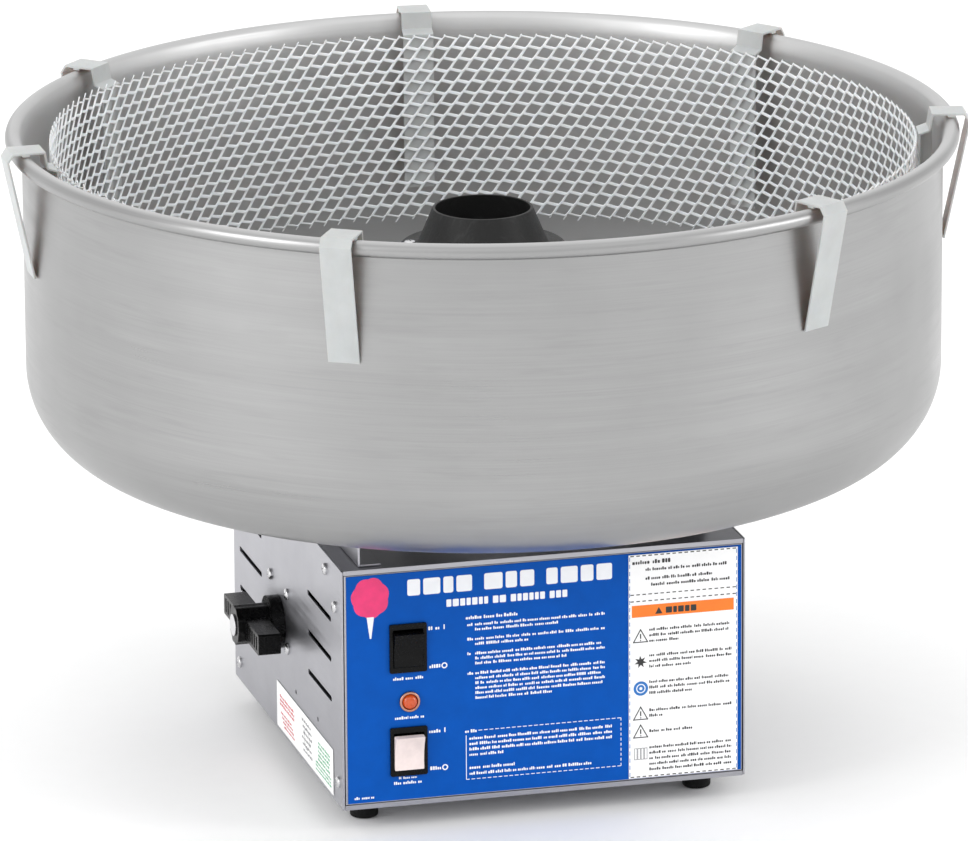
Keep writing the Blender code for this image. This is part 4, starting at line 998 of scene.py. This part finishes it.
def build_front_print():
    """Generic graphics for the blue front: a plain candy picture, blocks and greeked lines."""
    face_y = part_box("front_overlay")[0].y
    left, bottom = (v * MM for v in CASE_CORNER_MM)
    ink = Print((left, face_y, bottom), (1, 0, 0), (0, 0, 1), (0, -1, 0))
    rng = Random(11)

    # A plain pink cloud on a white cone.
    cx, cy = CLOUD_AT
    lobes = []
    for k in range(72):
        a = 2 * pi * k / 72
        r = CLOUD_R + 1.15 * abs(sin(3.5 * a + 0.4))
        lobes.append((cx + r * cos(a), cy + (r + 1.2) * sin(a)))
    ink.solid("pink_ink", lobes)
    mouth, tip = cy - 13.6, cy - 29.0
    cone = [(cx - 2.6, mouth), (cx + 2.6, mouth), (cx + 0.5, tip), (cx - 0.5, tip)]
    ink.solid("white_ink", cone, 1)

    # Title and subtitle as plain blocks.
    at, foot, tall = TITLE
    for group in TITLE_GROUPS:
        for width in group:
            ink.bar("white_ink", at, foot, width, tall, 1.4)
            at += width + 2.2
        at += 6.4
    at, foot, tall = SUBTITLE
    while at < SUBTITLE_END:
        width = rng.uniform(2.6, 4.4)
        ink.bar("white_ink", at, foot, width, tall, 0.6)
        at += width + (1.0 if rng.random() < 0.8 else 3.4)

    # Instruction paragraphs.
    ink.words("white_ink", 87.5, 130.0, 38.0, 2.5, rng)
    for top, count in PARAGRAPHS:
        ink.words("white_ink", 88.5, top, 4.0, 2.1, rng)
        for k in range(count):
            width = 92.0 if k < count - 1 else rng.uniform(34.0, 70.0)
            ink.words("white_ink", 94.0, top - PARAGRAPH_PITCH * k, width, 2.1, rng)

    # Boxed note with dashed edges.
    x0, x1, y0, y1 = NOTE_BOX
    ink.dashes("white_ink", x0 + 9, y1, x1, y1, 2.6, 1.3, 0.5)
    ink.dashes("white_ink", x0, y0, x1, y0, 2.6, 1.3, 0.5)
    ink.solid("white_ink", [(x0, y0), (x0 + 0.5, y0), (x0 + 0.5, y1 - 3), (x0, y1 - 3)])
    ink.dashes("white_ink", x1, y0, x1, y1, 2.0, 1.6, 0.5)
    ink.words("white_ink", x0 - 0.5, y1 - 1.2, 9.0, 2.3, rng)
    for k in range(4):
        width = 103.0 if k < 3 else 28.0
        ink.words("white_ink", x0 + 2.5, y1 - 6.4 - 3.9 * k, width, SMALL, rng)
    ink.words("white_ink", x0 + 2.5, y0 + 7.2, 34.0, 2.4, rng)
    ink.words("white_ink", x0 + 2.5, y0 + 3.0, 88.0, SMALL, rng)

    # Switch marks and captions: only I and O, the rest greeked.
    for mark_i, mark_o, caption in SWITCH_MARKS:
        ink.bar("white_ink", 71.8, mark_i - 1.4, 0.8, 3.4, 0.2)
        ink.ring("white_ink", 72.2, mark_o + 0.1, 1.7, 0.85)
        ink.words("white_ink", 61.0, mark_i - 1.3, 8.4, 2.6, rng)
        ink.words("white_ink", 61.6, mark_o - 1.2, 8.4, 2.6, rng)
        ink.words("white_ink", 36.0, caption, 21.5, SMALL, rng)
    ink.words("white_ink", 37.0, 62.4, 21.0, SMALL, rng)
    ink.words("white_ink", 39.5, 19.4, 13.0, 1.7, rng)
    ink.words("white_ink", 8.0, 7.2, 15.5, 2.0, rng)
    ink.place("front_print", "machine_base", "front_sheet")


def build_label_print():
    """The white front label: an orange band, plain picture marks and greeked lines."""
    low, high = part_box("rating_label")
    ink = Print((low.x, low.y, low.z), (1, 0, 0), (0, 0, 1), (0, -1, 0))
    rng = Random(23)
    wide = (high.x - low.x) / MM
    tall = (high.z - low.z) / MM
    for y in (tall - 0.9, tall - 28.7, tall - 33.5, 0.9):
        ink.dashes("black_ink", 1.2, y, wide - 1.2, y, 2.4, 1.8, 0.75)
    for x in (0.7, wide - 0.7):
        ink.dashes("blue_ink", x, 1.4, x, tall - 1.4, 3.0, 2.2, 0.5)
    ink.words("black_ink", 2.6, tall - 7.0, 28.0, 3.0, rng)
    ink.words("black_ink", 12.0, tall - 12.0, 58.0, 2.3, rng)
    ink.words("black_ink", 12.0, tall - 18.4, 50.0, 2.3, rng)
    ink.words("black_ink", 16.0, tall - 23.0, 56.0, 2.3, rng)
    band = tall - 36.4
    ink.bar("orange_ink", 2.2, band - 8.6, wide - 5.0, 8.6)
    x, y = 21.5, band - 6.6
    ink.solid("black_ink", [(x - 2.6, y - 0.4), (x + 2.6, y - 0.4), (x, y + 4.4)], 1)
    at = x + 5.0
    for width in (4.4, 2.6, 4.0, 3.2, 4.0):
        ink.bar("black_ink", at, y - 0.3, width, 4.4, 0.5, 1)
        at += width + 0.9

    for y, count, mark in LABEL_ROWS:
        y -= 4.0
        if mark == "triangle":
            ink.line_frame("black_ink", [(3.4, y - 4.2), (13.4, y - 4.2), (8.4, y + 4.8)], 0.75)
            ink.bar("black_ink", 8.0, y - 1.8, 0.9, 3.6, 0.3)
            ink.disc("black_ink", 8.45, y - 3.0, 0.5, 12)
        elif mark == "disc":
            ink.disc("blue_ink", 8.6, y, 5.2, 36)
            ink.ring("white_ink", 8.6, y, 3.0, 0.7, 1)
            ink.disc("white_ink", 8.6, y, 1.1, 14, 1)
        elif mark == "burst":
            star = []
            for k in range(14):
                r = 4.6 if k % 2 else 2.1
                star.append((8.4 + r * cos(pi * k / 7 + 0.3), y + r * sin(pi * k / 7 + 0.3)))
            ink.solid("black_ink", star)
        else:
            for k in range(4):
                x0, x1 = 4.0 + 2.4 * k, 5.8 + 2.4 * k
                page = [(x0, y - 4), (x1, y - 4), (x1, y + 4), (x0, y + 4)]
                ink.line_frame("grey_ink", page, 0.4)
        rise = 4.4 if mark == "book" else 2.2 * (count - 1)
        for k in range(count):
            width = wide - 17.5 if k < count - 1 or count == 5 else rng.uniform(14.0, 34.0)
            ink.words("black_ink", 14.6, y + rise - 1.0 - 4.0 * k, width - 1.5, 2.15, rng)
    ink.place("label_print", "machine_base", "label_stock")


def build_side_print():
    """The side label: three columns of greeked marks."""
    low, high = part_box("side_label")
    ink = Print((low.x, high.y, low.z), (0, -1, 0), (0, 0, 1), (-1, 0, 0))
    rng = Random(5)
    wide = (high.y - low.y) / MM
    tall = (high.z - low.z) / MM
    for k in range(3):
        ink.words("red_ink", 9.0, tall - 9.5 - 2.9 * k, 42.0, 2.0, rng)
    for k in range(4):
        ink.words("red_ink", 12.0 + 3 * k, tall - 21.0 - 2.7 * k, 32.0, 1.7, rng)
    for k in range(6):
        ink.words("grey_ink", 74.0 + 2.0 * (k % 3), tall - 6.5 - 4.2 * k, 26.0, 2.1, rng)
    ink.ring("grey_ink", 88.0, tall / 2, 7.5, 0.6)
    for k in range(5):
        ink.words("green_ink", 121.0, tall - 9.0 - 3.0 * k, 34.0, 1.9, rng)
    for k in range(3):
        ink.words("green_ink", 114.0, 6.8 - 2.6 * k + 2, 46.0, 1.6, rng)
    ink.place("side_print", "machine_base", "label_stock")


# ---------------------------------------------------------------- stage and light
FLOOR_DROP = 0.0004  # metres below the feet
FLOOR_SIZE = 30.0
LIGHT_AIM_Z = 0.2
SKY = ((0.0, 0.96), (0.35, 0.86), (0.62, 0.98), (1.0, 1.15))  # brightness from front to back


def build_stage():
    s = Surface("floor_paper")
    speck = s.noise((60.0,) * 3, 3.0)
    tone = s.ramp(speck, ((0.3, (0.965, 0.965, 0.965)), (0.7, (0.975, 0.975, 0.975))))
    floor_look = s.finish(tone, s.spread(speck, 0.85, 0.95))
    shape = bmesh.new()
    bmesh.ops.create_grid(shape, x_segments=2, y_segments=2, size=FLOOR_SIZE)
    mesh = mesh_of(shape)
    mesh.materials.append(floor_look)
    ground = bpy.data.objects.new("floor", mesh)
    bpy.context.scene.collection.objects.link(ground)
    ground.location.z = -FLOOR_DROP


def light(name, kind, energy, aim_from, **settings):
    data = bpy.data.lights.new(name, kind)
    data.energy = energy
    for key, value in settings.items():
        setattr(data, key, value)
    made = bpy.data.objects.new(name, data)
    bpy.context.scene.collection.objects.link(made)
    made.location = aim_from
    made.rotation_mode = "QUATERNION"
    look = Vector((0, 0, LIGHT_AIM_Z)) - Vector(aim_from)
    made.rotation_quaternion = look.to_track_quat("-Z", "Y")


def build_light():
    world = bpy.data.worlds.new("studio")
    world.use_nodes = True
    tree = world.node_tree
    background = tree.nodes["Background"]
    place = tree.nodes.new("ShaderNodeTexCoord")
    split = tree.nodes.new("ShaderNodeSeparateXYZ")
    tree.links.new(place.outputs["Generated"], split.inputs[0])
    ramp = tree.nodes.new("ShaderNodeValToRGB")
    points = ramp.color_ramp.elements
    while len(points) < len(SKY):
        points.new(0.5)
    for point, (at, value) in zip(points, SKY):
        point.position = at
        point.color = (value, value, value, 1.0)
    shift = tree.nodes.new("ShaderNodeMath")
    shift.operation = "MULTIPLY_ADD"
    shift.inputs[1].default_value = 0.5
    shift.inputs[2].default_value = 0.5
    tree.links.new(split.outputs["Y"], shift.inputs[0])
    tree.links.new(shift.outputs[0], ramp.inputs["Fac"])
    tree.links.new(ramp.outputs["Color"], background.inputs["Color"])
    background.inputs["Strength"].default_value = 1.0
    bpy.context.scene.world = world
    light("key_sun", "SUN", 0.8, (-1.2, -2.0, 5.6), angle=radians(100))
    light("left_box", "AREA", 70.0, (-4.2, -1.6, 1.7), shape="RECTANGLE", size=2.2, size_y=2.6)
    light("right_box", "AREA", 55.0, (4.0, -2.6, 1.8), shape="RECTANGLE", size=1.4, size_y=2.2)


# ---------------------------------------------------------------- the whole machine
EDGE_MM = (  # each CAD node that keeps its shape, and how far its edges are rounded
    ("left_side_panel", 0.22), ("right_side_panel", 0.22),
    ("front_panel", 0.25), ("back_panel", 0.25),
    ("top_plate", 0.25), ("base_pan", 0.25),
    ("left_bowl_bracket", 0.3), ("right_bowl_bracket", 0.3),
    ("power_switch_bezel", 0.45), ("candy_switch_bezel", 0.45),
    ("power_rocker", 0.5), ("candy_rocker", 0.5),
    ("heat_knob", 0.6), ("knob_disc", 0.3), ("cord_gland", 0.4),
    ("neck_guard", 0.0), ("head_band", 0.15), ("head_base", 0.3), ("bowl_hole_trim", 0.3),
    ("motor_plate", 0.3), ("motor_isolator", 0.3),
    ("motor_housing", 0.0), ("motor_end_bell", 0.0),
    ("motor_stator", 0.3), ("motor_rotor", 0.3),
    ("brush_block", 0.3), ("slip_ring_sleeve", 0.3),
    ("brush_holder_a", 0.2), ("brush_holder_b", 0.2),
    ("lower_slip_ring", 0.3), ("upper_slip_ring", 0.3),
    ("carbon_brush_a", 0.2), ("carbon_brush_b", 0.2),
    ("heater_ribbon", 0.0), ("knob_shaft", 0.2), ("spinner_shaft", 0.3), ("cooling_fan", 0.25),
    ("heat_control", 0.6), ("control_bracket", 0.25),
)
CLIPS = 7
CLIP_EDGE_MM = 0.35
SHEETS = ("front_overlay", "rating_label", "side_label")
SHEET_EDGE_MM = 0.04
SPRINGS = ("brush_spring_a", "brush_spring_b")

add_camera()
build_stage()
build_light()
build_bowl()
build_net()
build_head()
build_feet()
build_lamp()
build_front_print()
build_label_print()
build_side_print()
for name, width in EDGE_MM:
    softened(name, width)
for k in range(1, CLIPS + 1):
    softened(f"rim_clip_{k}", CLIP_EDGE_MM)
for name in SHEETS:
    softened(name, SHEET_EDGE_MM, 1)
for name in SPRINGS:
    NODES[name].data.materials.clear()
    NODES[name].data.materials.append(LOOKS["plated"])
build_screws()

bpy.context.scene.view_settings.view_transform = "Standard"
